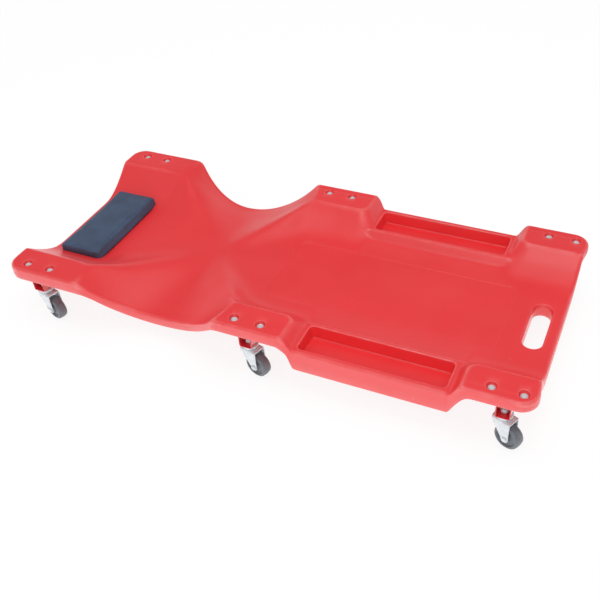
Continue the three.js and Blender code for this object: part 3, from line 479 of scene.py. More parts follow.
# %% [markdown]
# ## The deck's grid
# The grid's rows run across the deck and its columns along it. They follow the tabs' edges and the
# creases, because a crease that lies along a grid line stays clean. Rows stand closer together
# where the rim turns a corner.


# %% Rows and columns
CORNER_START = HALF_LENGTH - CORNER


def end_half(x):
    """Half width of the top near the deck's ends, where the plan corner is an arc."""
    into = np.clip(np.abs(x) - CORNER_START, 0, BEND)
    return RIM - BEND + np.sqrt(np.maximum(BEND ** 2 - into ** 2, 0))


def row_places(head, waist, middle):
    """x of every row of the grid, as runs of (end, number of rows) between the plan corners."""
    swing = BEND * np.sin(np.linspace(0, np.pi / 2, 10))
    parts, start = [-CORNER_START - swing[::-1]], -CORNER_START
    for end, count in ((-357, 36), (head, 4), (waist, 36), (middle, 44), (-35, 5), (74, 36), (98, 12),
                       (364, 50), (392, 12), (CORNER_START, 28)):
        parts.append(np.linspace(start, end, count + 1)[1:])
        start = end
    return np.concatenate([*parts, CORNER_START + swing[1:]])


inner_x = row_places(HEAD_INNER_END, WAIST_X, MIDDLE_INNER_START)
outer_x = row_places(HEAD_END, DIP_X, MIDDLE_START)
inner_x = inner_x - 4.0 * np.clip((outer_x - CORNER_START) / BEND, 0, 1) ** 2
ledge_share = beside_tray(outer_x)
rim_half = np.where(np.abs(outer_x) > CORNER_START, end_half(outer_x), cutout_rim(outer_x)[0])
rim_half = rim_half - (HALF_WIDTH - TRAY_RIM) * ledge_share
to_waist = np.where(inner_x < WAIST_X, (inner_x - HEAD_INNER_END) / (WAIST_X - HEAD_INNER_END),
                    (inner_x - MIDDLE_INNER_START) / (WAIST_X - MIDDLE_INNER_START))
to_waist = np.clip(to_waist, 0, 1)
edge_half = mix(TAB_INNER, 14.0, to_waist) - (TAB_INNER - LEDGE_INNER) * ledge_share
flat_half = mix(mix(SEAT_FLAT, PANEL_FLAT, eased((inner_x + 300) / 250)), 9.0, to_waist)
flat_half = mix(flat_half, LEDGE_INNER - LEDGE_RUN, ledge_share)
FLOOR_COLUMNS, WALL_COLUMNS = 12, 13
outer_shares = np.concatenate([[0.022, 0.045, 0.075], np.linspace(0.11, 0.73, 16),
                               np.linspace(0.76, 1.0, 10)])
wall_shares = np.linspace(0, 1, WALL_COLUMNS + 1)[1:]
floor_shares = np.linspace(0, 1, FLOOR_COLUMNS + 1)


def half_grid(shift, inset):
    """x and y of the half grid, from the centre line to the rim: floor, wall and outer columns."""
    rim = (rim_half - inset)[:, None]
    edge, flat = (edge_half * shift)[:, None], (flat_half * shift)[:, None]
    y = np.concatenate([flat * floor_shares, mix(flat, edge, wall_shares),
                        mix(edge, rim, outer_shares)], axis=1)
    slant = np.concatenate([np.zeros(FLOOR_COLUMNS + 1 + WALL_COLUMNS), outer_shares])
    x = mix(inner_x[:, None], outer_x[:, None], slant)
    return x, y


def whole_grid(shift, inset, height):
    """Points of the full grid, the far half first mirrored to the near side."""
    x, y = half_grid(shift, inset)
    x = np.concatenate([x[:, :0:-1], x], axis=1)
    y = np.concatenate([-y[:, :0:-1], y], axis=1)
    return np.stack([x, y, height(x, y)], axis=2)


top = whole_grid(1.0, 0.0, top_height)
under = whole_grid(UNDER_SHIFT, 0.0, under_height)
print("deck grid", top.shape, "top heights", top[..., 2].min().round(1), top[..., 2].max().round(1))

# %% [markdown]
# ## Edges, holes and pockets
# Round the rim the skin turns down over a rounded edge into a plain skirt. A pocket or a hole is
# made of rings: a rectangle of grid cells is left out, and rings lead from its border to the
# opening's rounded outline and down its wall. Rings keep an outline smooth, which cutting with
# booleans on a fine grid doesn't.


# %% Rings
def border(points, i0, i1, j0, j1):
    """The points round a rectangle of the grid, anticlockwise from above."""
    return np.concatenate([points[i0:i1, j0], points[i1, j0:j1], points[i1:i0:-1, j1],
                           points[i0, j1:j0:-1]])


def cells(grids, centre, half, corner, margin):
    """The smallest rectangle of grid lines whose border stays `margin` clear of an outline. It grows
    by a line at a time on the side that is nearest to the outline."""
    core = np.maximum(np.array(half) - corner, 0)
    gaps = [np.linalg.norm(np.maximum(np.abs(p[..., :2] - centre) - core, 0), axis=2) - corner
            for p in grids]
    gap = np.minimum.reduce(gaps)
    i0, j0 = np.unravel_index(np.argmin(gap), gap.shape)
    i1, j1 = i0 + 1, j0 + 1
    while True:
        sides = [gap[i0, j0:j1 + 1].min(), gap[i1, j0:j1 + 1].min(), gap[i0:i1 + 1, j0].min(),
                 gap[i0:i1 + 1, j1].min()]
        nearest = int(np.argmin(sides))
        if sides[nearest] >= margin:
            return int(i0), int(i1), int(j0), int(j1)
        i0, i1 = i0 - (nearest == 0), i1 + (nearest == 1)
        j0, j1 = j0 - (nearest == 2), j1 + (nearest == 3)


def outline(start, centre, half, corner, grow):
    """Nearest points on a rounded rectangle: each start point is held to the inner core, and then
    leaves it in its own direction by the corner radius plus `grow`."""
    away = start[:, :2] - centre
    core = np.maximum(np.array(half) - corner, 0)
    held = np.clip(away, -core, core)
    out = away - held
    out = out / np.maximum(np.linalg.norm(out, axis=1, keepdims=True), 1e-9)
    return centre + held + out * (corner + grow)


def ring(start, centre, half, corner, grow, height):
    """One ring: `height` is a number, or a function of x and y."""
    plan = outline(start, np.array(centre), half, corner, grow)
    z = height(plan[:, 0], plan[:, 1]) if callable(height) else np.full(len(plan), float(height))
    return np.column_stack([plan, z])


def lip(surface, radius, drop_sign=1, steps=5):
    """Growths and heights of a rounded lip: a quarter circle from the surface into the opening."""
    angles = np.linspace(0, np.pi / 2, steps)
    return [(radius * (1 - np.sin(a)),
             lambda x, y, d=radius * (1 - np.cos(a)): surface(x, y) - drop_sign * d) for a in angles]


def ring_patch(rings, upward=True):
    """Strip between rings that go from the outermost to the innermost."""
    loops = np.stack([closed(r) for r in rings], axis=1)
    return grid(loops if upward else loops[::-1])


def floor_patch(start, centre, half, corner, level):
    """Flat floor over the core of a pocket, on the grid lines that its border also has."""
    core = np.maximum(np.array(half) - corner, 0)
    away = start[:, :2] - centre
    axes = []
    for k in (0, 1):
        inside = np.unique(away[np.abs(away[:, k]) < core[k] - 1e-6, k].round(6))
        axes.append(np.concatenate([[-core[k]], inside, [core[k]]]))
    x, y = np.meshgrid(axes[0] + centre[0], axes[1] + centre[1], indexing="ij")
    return grid(np.stack([x, y, np.full(x.shape, float(level))], axis=2))


patches = []
skins, left_out = {"top": top, "under": under}, {"top": [], "under": []}


def opening(names, centre, half, corner, margin, wall):
    """Leave the cells round an outline out of the named skins. Returns their box, and rings from
    its border in the first skin down a wall that is a list of (growth, height)."""
    box = cells([skins[name] for name in names], centre, half, corner, margin)
    for name in names:
        left_out[name].append(box)
    start = border(skins[names[0]], *box)
    return box, [start] + [ring(start, centre, half, corner, g, h) for g, h in wall]


def pocket(centre, half, corner, wall, floor, margin, lip_radius=1.0):
    """A pocket in the top. `wall` lists (growth, level) pairs below the rounded lip."""
    wall = lip(top_height, lip_radius) + wall + [(-corner, floor)]
    _, rings = opening(["top"], centre, half, corner, margin, wall)
    patches.append(ring_patch(rings))
    patches.append(floor_patch(rings[0], centre, half, corner, floor))


# %% [markdown]
# The tool trays are deep pockets with drafted walls, so that the moulding leaves its tool. The
# lying panel is a shallow recess less than a millimetre deep, which shows as one thin line. The
# headrest sits in a recess of its own.

# %% Trays, panel recess and headrest seat
TRAY_X, TRAY_Y, TRAY_HALF, TRAY_CORNER = 231.0, 187.0, (131.5, 31.0), 9.0
TRAY_DEPTH, TRAY_DRAFT, TRAY_FILLET = 24.5, 3.0, 3.0
tray_floor = LEDGE_TOP - TRAY_DEPTH
tray_wall = [(-TRAY_DRAFT * 0.5, LEDGE_TOP - TRAY_DEPTH * 0.5)]
tray_wall += [(-TRAY_DRAFT - TRAY_FILLET * (1 - np.cos(a)), tray_floor + TRAY_FILLET * (1 - np.sin(a)))
              for a in np.linspace(0, np.pi / 2, 6)]
for side in (1, -1):
    pocket(np.array([TRAY_X, side * TRAY_Y]), TRAY_HALF, TRAY_CORNER, tray_wall, tray_floor, 2.6, 2.5)

INSET_X, INSET_HALF, INSET_FLOOR = 189.6, (218.1, 88.0), PANEL_TOP - 0.8
pocket(np.array([INSET_X, 0.0]), INSET_HALF, 14.0,
       [(-0.6, INSET_FLOOR + 0.1), (-1.3, INSET_FLOOR)], INSET_FLOOR, 1.5, 0.6)

PAD_X, PAD_HALF, PAD_GAP, SEAT_FLOOR, SCREW_Y = -437.3, (44.5, 106.0), 1.5, 68.5, 60.0
pocket(np.array([PAD_X, 0.0]), (PAD_HALF[0] + PAD_GAP, PAD_HALF[1] + PAD_GAP), 9.0,
       [(-0.1, SEAT_FLOOR + 0.4), (-0.6, SEAT_FLOOR)], SEAT_FLOOR, 1.5, 0.6)

# %% [markdown]
# Twelve bolts go through the tabs. Each sits in a round dimple that keeps its head below the
# mechanic's back, and the hole goes right through to the bracket. The hand slot at the foot end is
# also a hole through both skins, with generously rounded lips because a hand carries the creeper
# by it.

# %% Holes through the deck
CASTER_X = {"head": -444.2, "middle": 4.3, "foot": 458.7}
CASTER_Y, BOLT_PITCH = 210.7, 51.0
DIMPLE_DEPTH, DIMPLE_RADIUS, DIMPLE_FLOOR, BOLT_HOLE = 6.0, 9.0, 7.4, 3.8


def through(centre, half, corner, rings_at, margin):
    """A hole through both skins: rings lead from the top's cells to the underside's."""
    box, rings = opening(["top", "under"], centre, half, corner, margin, rings_at)
    patches.append(ring_patch([*rings, border(under, *box)]))


seat = TAB_TOP - DIMPLE_DEPTH
dimple = lip(top_height, 1.4) + [
    (-0.35, TAB_TOP - 3.0), (DIMPLE_FLOOR - DIMPLE_RADIUS, seat + 0.6),
    (DIMPLE_FLOOR - DIMPLE_RADIUS - 0.6, seat), (BOLT_HOLE - DIMPLE_RADIUS, seat),
    (BOLT_HOLE - DIMPLE_RADIUS, seat - 4), (BOLT_HOLE - DIMPLE_RADIUS, under_height)]
for zone_x in CASTER_X.values():
    for side in (1, -1):
        for end in (-1, 1):
            through(np.array([zone_x + end * BOLT_PITCH / 2, side * CASTER_Y]),
                    (DIMPLE_RADIUS, DIMPLE_RADIUS), DIMPLE_RADIUS, dimple, 1.6)

SLOT_X, SLOT_HALF, SLOT_LIP = 464.0, (17.5, 59.0), 4.5
slot_wall = lip(top_height, SLOT_LIP, steps=8) + [
    (-0.3, 62.0), (-0.7, 56.0), (-1.1, 51.6), (-0.8, 50.8), (-0.1, 50.5), (1.0, 50.5), (1.7, 50.8),
    (2.0, 51.6), (2.2, under_height)]
through(np.array([SLOT_X, 0.0]), SLOT_HALF, SLOT_HALF[0], slot_wall, 7.5)

# %% [markdown]
# Underneath, nine shallow pockets stiffen the panel where it carries a person's weight, and two
# round sinks hold the heads of the headrest's screws.

# %% Hollows and screw sinks under the deck
HOLLOW_DEPTH, HOLLOW_HALF = 9.0, (INSET_HALF[0] / 3 - 17.0, 17.0)


def under_pocket(centre, half, corner, wall, floor, margin):
    """A pocket in the underside. Its flat floor is closed on the middle line of its core."""
    _, rings = opening(["under"], centre, half, corner, margin, [*wall, (-corner, floor)])
    core = np.maximum(np.array(half) - corner, 0)
    spine = np.clip(rings[0][:, 0] - centre[0], core[1] - core[0], core[0] - core[1])
    rings.append(np.column_stack([centre[0] + spine, centre[1] + 0 * spine, floor + 0 * spine]))
    patches.append(ring_patch(rings, upward=False))


hollow_wall = lip(under_height, 1.5, drop_sign=-1) + [
    (-2.6, PANEL_UNDER + HOLLOW_DEPTH - 2), (-3.2, PANEL_UNDER + HOLLOW_DEPTH - 0.6),
    (-5, PANEL_UNDER + HOLLOW_DEPTH)]
for column in (-1, 0, 1):
    for row in (-1, 0, 1):
        centre = np.array([INSET_X + column * INSET_HALF[0] * 2 / 3, row * INSET_HALF[1] * 2 / 3])
        under_pocket(centre, HOLLOW_HALF, 11.0, hollow_wall, PANEL_UNDER + HOLLOW_DEPTH, 2.0)
SINK_FLOOR = SEAT_UNDER + 8.0
sink_wall = lip(under_height, 0.8, drop_sign=-1) + [
    (-0.2, SINK_FLOOR - 0.4), (-0.6, SINK_FLOOR), (-5.1, SINK_FLOOR), (-5.1, SEAT_FLOOR - 1)]
for side in (1, -1):
    under_pocket(np.array([PAD_X, side * SCREW_Y]), (8.0, 8.0), 8.0, sink_wall, SEAT_FLOOR - 1, 1.5)


# %% [markdown]
# The rim's skirt hides the caster brackets a little and stiffens the edge. It hangs deepest beside
# the trays. Half way down runs the parting line, where the two halves of the mould met.

# %% Rim and skirt
def skirt_foot(x, low):
    """Lower edge of the skirt: it hangs below the tabs, and swings down beside the trays."""
    head = 5.5 * np.clip((HEAD_END + 16 - x) / 18, 0, 1)
    middle = 2.5 * np.clip((x - MIDDLE_START + 22) / 22, 0, 1) * np.clip((80 - x) / 10, 0, 1)
    down = eased(np.clip((x - 56) / 47, 0, 1) ** 1.8) * eased(np.clip((415 - x) / 46, 0, 1) ** 1.8)
    swung = mix(TAB_UNDER - 2.5 * (x < 200), TRAY_UNDER, down)
    return np.where((x > 50) & (x < 420), np.minimum(swung, low), low - head - middle)


last_i, last_j = top.shape[0] - 1, top.shape[1] - 1
rim_top, rim_under = (border(skin, 0, last_i, 0, last_j) for skin in (top, under))
along = np.roll(rim_top, -1, axis=0) - np.roll(rim_top, 1, axis=0)
out = np.column_stack([along[:, 1], -along[:, 0], 0 * along[:, 0]])
out = out / np.linalg.norm(out, axis=1, keepdims=True)
on_side = np.zeros(len(rim_top), bool)
on_side[:last_i] = True
on_side[last_i + last_j:2 * last_i + last_j] = True
low = rim_under[:, 2]
foot = np.where(on_side, skirt_foot(rim_top[:, 0], low), low)
up = np.array([0.0, 0.0, 1.0])


def rim_ring(offset, z):
    """The top's border moved outwards by `offset`, at the heights z."""
    return rim_top + out * np.reshape(offset, (-1, 1)) + up * (z - rim_top[:, 2])[:, None]


rings = [rim_top]
for a in np.linspace(0, np.pi / 2, 8)[1:]:
    rings.append(rim_ring(EDGE * np.sin(a), rim_top[:, 2] - EDGE * (1 - np.cos(a))))
waistline = mix(foot, rim_top[:, 2], 0.42)
for lift, bulge in ((1.6, 0.0), (0.5, 0.0), (0.0, 0.35), (-0.5, 0.0), (-1.6, 0.0)):
    rings.append(rim_ring(EDGE + bulge, waistline + lift))
for a in np.linspace(0, np.pi / 2, 5):
    rings.append(rim_ring(EDGE - 2 * (1 - np.cos(a)), foot + 2 * (1 - np.sin(a))))
inner_wall = rim_ring(EDGE - SKIRT_WALL, foot)
rings.append(inner_wall)
rings.append(rim_ring(EDGE - SKIRT_WALL - 0.4, np.maximum(foot, low)))
rings.append(rim_under)
patches.append(grid(np.stack([closed(r) for r in rings])))


# %% Deck
def grid_without(points, boxes, upward):
    """Quads of a grid, without the cells of the pockets and holes."""
    verts, quads = grid(points)
    keep = np.ones((points.shape[0] - 1, points.shape[1] - 1), bool)
    for i0, i1, j0, j1 in boxes:
        keep[i0:i1, j0:j1] = False
    quads = quads[keep.ravel()]
    return verts, quads if upward else quads[:, ::-1]


patches.append(grid_without(top, left_out["top"], True))
patches.append(grid_without(under, left_out["under"], False))
deck = new_piece("deck_shell", patches, deck_plastic, "root", ["deck"], sharp_deg=80)
print("deck faces", len(deck.data.polygons))

# %% [markdown]
# ## Rubbed and highlighted edges
# Hands, clothes and tools polish what stands out, and the same edges carry a painted highlight. How
# far a point stands out comes from the mesh itself, and is kept with it as a number from 0 to 1,
# which the plastic reads as an attribute and paints paler. On the lying panel, which a back doesn't
# scrape, the paling is cut to 0.15 of that, and the recess's thin line stays faint.


# %% Rubbed and highlighted edges
def standing_out(mesh):
    """How far each point stands out from its neighbours: minus the mean cosine between its normal
    and its edges, and then the mean of that over the point and its neighbours. It is 0 on a flat,
    and grows with the turn from point to point where an edge is rounded."""
    ends = np.empty(len(mesh.edges) * 2, np.int32)
    mesh.edges.foreach_get("vertices", ends)
    count, points, normals = len(mesh.vertices), mesh_points(mesh), np.empty(len(mesh.vertices) * 3)
    mesh.vertices.foreach_get("normal", normals)
    normals = normals.reshape(-1, 3)
    a, b = ends[0::2], ends[1::2]
    step = points[b] - points[a]
    step = step / np.linalg.norm(step, axis=1, keepdims=True)
    degree = np.bincount(a, minlength=count) + np.bincount(b, minlength=count)
    turn = (np.bincount(b, (step * normals[b]).sum(axis=1), count)
            - np.bincount(a, (step * normals[a]).sum(axis=1), count)) / degree
    around = np.bincount(a, turn[b], count) + np.bincount(b, turn[a], count)
    return (turn + around) / (1 + degree), points


turn, points = standing_out(deck.data)
LEAST_TURN, FULL_TURN = 0.0314, 0.0848
on_panel = (np.abs(points[:, 1]) < 94) & (points[:, 0] < 415)
# Painted highlight and wear: 0 on flats, up to 1 where the edge turns most.
rubbed_and_highlight = np.where(on_panel, 0.15, 1.0) * np.clip((turn - LEAST_TURN) / (FULL_TURN - LEAST_TURN), 0, 1)
deck.data.attributes.new("rubbed_and_highlight", "FLOAT", "POINT").data.foreach_set("value", rubbed_and_highlight)

# %% [markdown]
# ## Shapes for small parts
# Bolts, cups, wheels and nuts are turned or six-sided parts: stacks of rings about an axis, where a
# ring of a hexagon is cut back by a cone, which gives a nut its curved corner marks. Brackets and
# forks are folded from sheet, so each is a pair of matching grids, one for either face of the sheet,
# joined round its edge and pierced by holes. No edge is perfectly sharp: each outline has rounded
# corners.


# %% Profiles, turned parts and sheets
def rounded(corners, steps=4, loop=True):
    """Outline through rows of (u, v, radius). A corner of radius r becomes an arc that leaves its
    sides at r / tan(t / 2) from the corner, where t is the angle between the sides."""
    corners = np.array(corners, float)
    before, after = np.roll(corners, 1, axis=0), np.roll(corners, -1, axis=0)
    points = []
    for k, (a, p, b) in enumerate(zip(before, corners, after)):
        if p[2] == 0 or (not loop and k in (0, len(corners) - 1)):
            points.append(p[None, :2])
            continue
        u, v = a[:2] - p[:2], b[:2] - p[:2]
        u, v = u / np.linalg.norm(u), v / np.linalg.norm(v)
        half = np.arccos(np.clip(u @ v, -1, 1)) / 2
        way = (u + v) / np.linalg.norm(u + v)
        centre = p[:2] + way * p[2] / np.sin(half)
        swing = np.linspace(-1, 1, steps + 1) * (np.pi / 2 - half)
        side = np.array([-way[1], way[0]])
        side = side if side @ u < 0 else -side
        points.append(centre + p[2] * (-way * np.cos(swing)[:, None] + side * np.sin(swing)[:, None]))
    return np.concatenate(points)


def turned(profile, count, corner=None):
    """Points of rings about Z from (radius, height) rows. Where a row's `corner` is above 0 the ring
    is a hexagon of that corner radius, cut by the circle: r = min(radius, hexagon(angle))."""
    angle = np.linspace(0, 2 * np.pi, count + 1)
    radius = np.repeat(np.asarray(profile, float)[:, :1], count + 1, axis=1)
    if corner is not None:
        hexagon = np.cos(np.pi / 6) / np.cos(angle % (np.pi / 3) - np.pi / 6)
        limit = np.where(np.array(corner)[:, None] > 0, np.array(corner)[:, None] * hexagon, 1e6)
        radius = np.minimum(radius, limit)
    height = np.repeat(np.asarray(profile, float)[:, 1:2], count + 1, axis=1)
    return np.stack([radius * np.cos(angle), radius * np.sin(angle), height], axis=2)


def sheet(upper, lower, holes, edge=0.35):
    """Patches of a sheet between two matching grids. The grids stop short of the sheet's edge by
    `edge`, over which it is rounded. A hole is (axes, centre, radius, first row, last row)."""
    normal = upper - lower
    normal = normal / np.linalg.norm(normal, axis=2, keepdims=True)
    out = np.zeros_like(upper)
    for near, beyond, rows in ((0, 1, True), (-1, -2, True), (0, 1, False), (-1, -2, False)):
        a, b = (upper[near], upper[beyond]) if rows else (upper[:, near], upper[:, beyond])
        away = (a - b) / np.maximum(np.linalg.norm(a - b, axis=1, keepdims=True), 1e-9)
        if rows:
            out[near] += away
        else:
            out[:, near] += away
    whole = (0, upper.shape[0] - 1, 0, upper.shape[1] - 1)
    up_loop, low_loop, out_loop, n_loop = (border(g, *whole) for g in (upper, lower, out, normal))
    loops = [up_loop]
    for a in (0.35, 0.7, 1.0):
        loops.append(up_loop + edge * (np.sin(a * np.pi / 2) * out_loop
                                       - (1 - np.cos(a * np.pi / 2)) * n_loop))
    for a in (1.0, 0.7, 0.35):
        loops.append(low_loop + edge * (np.sin(a * np.pi / 2) * out_loop
                                        + (1 - np.cos(a * np.pi / 2)) * n_loop))
    loops.append(low_loop)
    parts = [grid(np.stack([closed(loop) for loop in loops]))]
    boxes = []
    for axes, centre, radius, first, last in holes:
        order = [*axes, 3 - sum(axes)]
        top_part, low_part = upper[first:last, :, order], lower[first:last, :, order]
        i0, i1, j0, j1 = cells([top_part, low_part], centre, (radius, radius), radius, 0.5)
        boxes.append((first + i0, first + i1, j0, j1))
        start, end = border(top_part, i0, i1, j0, j1), border(low_part, i0, i1, j0, j1)
        high, low = start[:, 2].mean(), end[:, 2].mean()
        step = 0.25 * np.sign(high - low)
        rings = [start] + [ring(start, centre, (radius, radius), radius, g, h) for g, h in (
            (0.25, high), (0, high - step), (0, low + step), (0.25, low))] + [end]
        back = np.argsort(order)
        parts.append(ring_patch([r[:, back] for r in rings]))
    parts.append(grid_without(upper, boxes, True))
    parts.append(grid_without(lower, boxes, False))
    return parts


def placed(points, x, side, angle=0.0):
    """Points of a caster's own frame, turned about its stem and moved to its place."""
    a = np.radians(angle)
    turn = np.array([[np.cos(a), np.sin(a), 0], [-np.sin(a), np.cos(a), 0], [0, 0, 1]])
    return points @ turn + np.array([x, side * CASTER_Y, 0])


def moved(patches, x, side, angle=0.0):
    """Patches of a caster's own frame, at their place."""
    return [(placed(p, x, side, angle), q) for p, q in patches]


# %% [markdown]
# ## Deck bolts, brackets and swivels
# A caster hangs on a bracket folded from one strip of sheet into a hat: two flanges are bolted
# under the tab, and the channel between them carries the swivel stem, which is riveted over below
# the fork and held by a nut above. The ball race between bracket and fork is a pair of pressed
# rings with a dark gap between them, in which the balls run.

# %% Bolt, nut, stem and race profiles
SEAT_HEIGHT = TAB_TOP - DIMPLE_DEPTH + 0.3


def domed(radius, height, base, edge=0.7, steps=9):
    """Profile of a carriage bolt's head: an edge band, then a ball's cap up to the axis."""
    rise = height - edge
    ball = (radius ** 2 + rise ** 2) / (2 * rise)
    t = np.linspace(np.arcsin(radius / ball), 0, steps)
    cap = np.column_stack([ball * np.sin(t), base + edge + ball * np.cos(t) - (ball - rise)])
    return np.concatenate([[[radius - 0.25, base], [radius, base + 0.25]], cap])


def thread(radius, low, high, pitch=1.25, depth=0.35):
    """Screw thread drawn as rings: the radius falls by `depth` at each root."""
    z = np.arange(low, high, pitch / 4)
    return np.column_stack([radius - depth * np.abs((z / pitch) % 1 * 2 - 1), z])


def nut_rings(corner, low, high, bore):
    """Rings of a hexagon nut: a washer face, chamfered corners, and a chamfer at the bore."""
    flat = corner * np.cos(np.pi / 6)
    rows = [(bore + 0.5, 0), (flat * 0.95, 0), (flat * 0.98, 0.15), (corner * 1.01, 1.0)]
    rows = [(r, low + z) for r, z in rows] + [(r, high - z) for r, z in rows[::-1]]
    return rows, [0, 0, corner, corner, corner, corner, 0, 0]


head = domed(6.2, 3.6, SEAT_HEIGHT)
nut_rows, nut_corner = nut_rings(6.2, 92.4, 97.4, 2.5)
tail = thread(3.0, 89.8, 92.3)
bolt_profile = np.concatenate([
    [[0, 89.4], [2.4, 89.4]], tail, nut_rows, [[3.0, 97.5], [3.0, SEAT_HEIGHT]], head])
bolt_corner = [0] * (2 + len(tail)) + nut_corner + [0] * (2 + len(head))
bolt_skin = turned(bolt_profile, 36, bolt_corner)

rivet = rounded([(0, 55.7, 0), (5.4, 55.7, 2.0), (8.0, 57.2, 0.8), (8.0, 58.7, 0.3), (4.7, 58.7, 0)],
                5, False)
stem_profile = np.concatenate([rivet, [(4.7, 78.0)], thread(4.7, 78.2, 83.8, 1.5, 0.4),
                               [(3.7, 85.0), (0, 85.0)]])
stem_skin = turned(stem_profile, 40)

rows, corner = nut_rings(8.0, 72.3, 79.3, 4.6)
stem_nut_skin = turned(rows + [(5.0, 78.8), (5.0, 72.8), rows[0]], 48, corner + [0, 0, 0])

cup_profile = closed(rounded([
    (5.0, 61.3, 0.2), (12.5, 61.3, 0.6), (13.6, 62.2, 0.5), (13.6, 63.5, 0.4), (12.0, 63.9, 0.2),
    (12.0, 64.7, 0.2), (14.95, 65.1, 0.5), (15.0, 67.6, 1.6), (12.2, 69.7, 0.8), (5.0, 69.7, 0.2)]))
cup_skin = turned(cup_profile, 56)

# %% Bracket
FLANGE_END, FLANGE_Z, FLANGE_CORNER, STRIP_HALF = 33.15, 98.7, 3.0, 16.65
CHANNEL_HALF, CHANNEL_Z, FOLD, SHEET_HALF, STEM_HOLE = 11.5, 71.0, 2.6, 1.0, 5.3
half_hat = [(-FLANGE_END, FLANGE_Z, 0), (-CHANNEL_HALF, FLANGE_Z, FOLD),
            (-CHANNEL_HALF, CHANNEL_Z, FOLD)]
hat = rounded(half_hat + [(-x, z, r) for x, z, r in half_hat[::-1]], 6, False)


def resampled(path, step):
    """The same path with points about `step` apart on its long straight stretches."""
    parts = []
    for a, b in zip(path[:-1], path[1:]):
        n = max(int(np.ceil(np.linalg.norm(b - a) / step)), 1)
        parts.append(a + (b - a) * (np.arange(n) / n)[:, None])
    return np.concatenate([*parts, path[-1:]])


def path_normals(path):
    """Unit normals of a path in a plane, to the left of its way."""
    along = np.gradient(path, axis=0)
    along = along / np.linalg.norm(along, axis=1, keepdims=True)
    return np.column_stack([-along[:, 1], along[:, 0]])


hat = resampled(hat, 1.3)
hat_normal = path_normals(hat)
into_corner = np.clip(FLANGE_CORNER - (FLANGE_END - np.abs(hat[:, 0])), 0, FLANGE_CORNER)
into_corner = np.where(hat[:, 1] > 90, into_corner, 0)
strip_half = STRIP_HALF - FLANGE_CORNER + np.sqrt(FLANGE_CORNER ** 2 - into_corner ** 2)
across = np.linspace(-1, 1, 27)


def strip_face(offset):
    """One face of the folded strip: its path moved by `offset`, times its width."""
    path = hat + hat_normal * offset
    x, z = (np.repeat(path[:, k:k + 1], len(across), axis=1) for k in (0, 1))
    return np.stack([x, strip_half[:, None] * across, z], axis=2)


third = len(hat) // 3
bracket_patches = sheet(strip_face(SHEET_HALF), strip_face(-SHEET_HALF), [
    ((0, 1), np.array([-BOLT_PITCH / 2, 0.0]), BOLT_HOLE, 0, third),
    ((0, 1), np.array([0.0, 0.0]), STEM_HOLE, third, -third),
    ((0, 1), np.array([BOLT_PITCH / 2, 0.0]), BOLT_HOLE, len(hat) - third, len(hat))])

# %% [markdown]
# ## Forks and wheels
# The fork is stamped from one blank: its crown stays flat under the ball race, and its two legs are
# folded down and narrow towards the round boss that holds the axle. The wheel is moulded in one
# piece, with a crowned tread, a thin web between rim and hub, and shoulders that are rounded so
# that it turns easily on the spot.

# %% Fork
WHEEL_X, WHEEL_Z, BOSS_R, AXLE_HOLE = 14.0, 24.0, 6.5, 3.3
LEG_Y, BEND_Z, BEND_R, CROWN_Z = 12.1, 56.5, 3.5, 60.0
boss_turn = np.radians(np.linspace(270, 172, 11))
boss_z = WHEEL_Z + BOSS_R * np.sin(boss_turn)
leg_z = np.concatenate([boss_z, np.linspace(boss_z[-1], BEND_Z, 24)[1:]])
shares = np.linspace(0, 1, 8)[1:]
bend_turn = shares * np.pi / 2
half_path = np.concatenate([
    np.column_stack([np.full(len(leg_z), LEG_Y), leg_z]),
    np.column_stack([LEG_Y - BEND_R * (1 - np.cos(bend_turn)), BEND_Z + BEND_R * np.sin(bend_turn)]),
    np.column_stack([(LEG_Y - BEND_R) * (1 - shares), np.full(7, CROWN_Z)])])
rear_half = np.concatenate([
    WHEEL_X + BOSS_R * np.cos(boss_turn),
    np.interp(leg_z[11:], [boss_z[-1], 51, 54, BEND_Z], [WHEEL_X - 6.44, -12.0, -13.2, -13.6]),
    mix(-13.6, -15.0, shares), mix(-15.0, -15.7, eased(shares))])
front_half = np.concatenate([
    WHEEL_X - BOSS_R * np.cos(boss_turn),
    np.interp(leg_z[11:], [boss_z[-1], 51, BEND_Z], [WHEEL_X + 6.44, 20.0, 19.8]),
    mix(19.8, 20.7, shares), np.full(7, 20.7)])
fork_path = np.concatenate([half_path, half_path[-2::-1] * [-1, 1]])
rear = np.concatenate([rear_half, rear_half[-2::-1]])
front = np.concatenate([front_half, front_half[-2::-1]])
fork_normal = path_normals(fork_path)
width_shares = np.linspace(0, 1, 25)


def fork_face(offset):
    """One face of the folded sheet. Round the ball race the crown is dished by 0.45 mm."""
    path = fork_path + fork_normal * offset
    x = mix(rear[:, None], front[:, None], width_shares)
    y, z = (np.repeat(path[:, k:k + 1], len(width_shares), axis=1) for k in (0, 1))
    dish = 0.45 * eased((11.5 - np.hypot(x, y)) / 2.5) * (z > 55)
    return np.stack([x, y, z - dish], axis=2)


leg_rows = len(leg_z)
fork_patches = sheet(fork_face(SHEET_HALF), fork_face(-SHEET_HALF), [
    ((0, 2), np.array([WHEEL_X, WHEEL_Z]), AXLE_HOLE, 0, leg_rows),
    ((0, 1), np.array([0.0, 0.0]), STEM_HOLE, leg_rows + 4, len(fork_path) - leg_rows - 4),
    ((0, 2), np.array([WHEEL_X, WHEEL_Z]), AXLE_HOLE, len(fork_path) - leg_rows, len(fork_path))], 0.3)

# %% Axle and wheel
axle_half = rounded([
    (0, 15.6, 0), (3.6, 15.6, 1.2), (5.0, 14.2, 0.8), (5.0, 13.4, 0.25), (3.0, 13.4, 0)], 5, False)
axle_profile = np.concatenate([axle_half, axle_half[::-1] * [1, -1]])
axle_skin = turned(axle_profile, 32)[..., [0, 2, 1]] + [WHEEL_X, 0, WHEEL_Z]

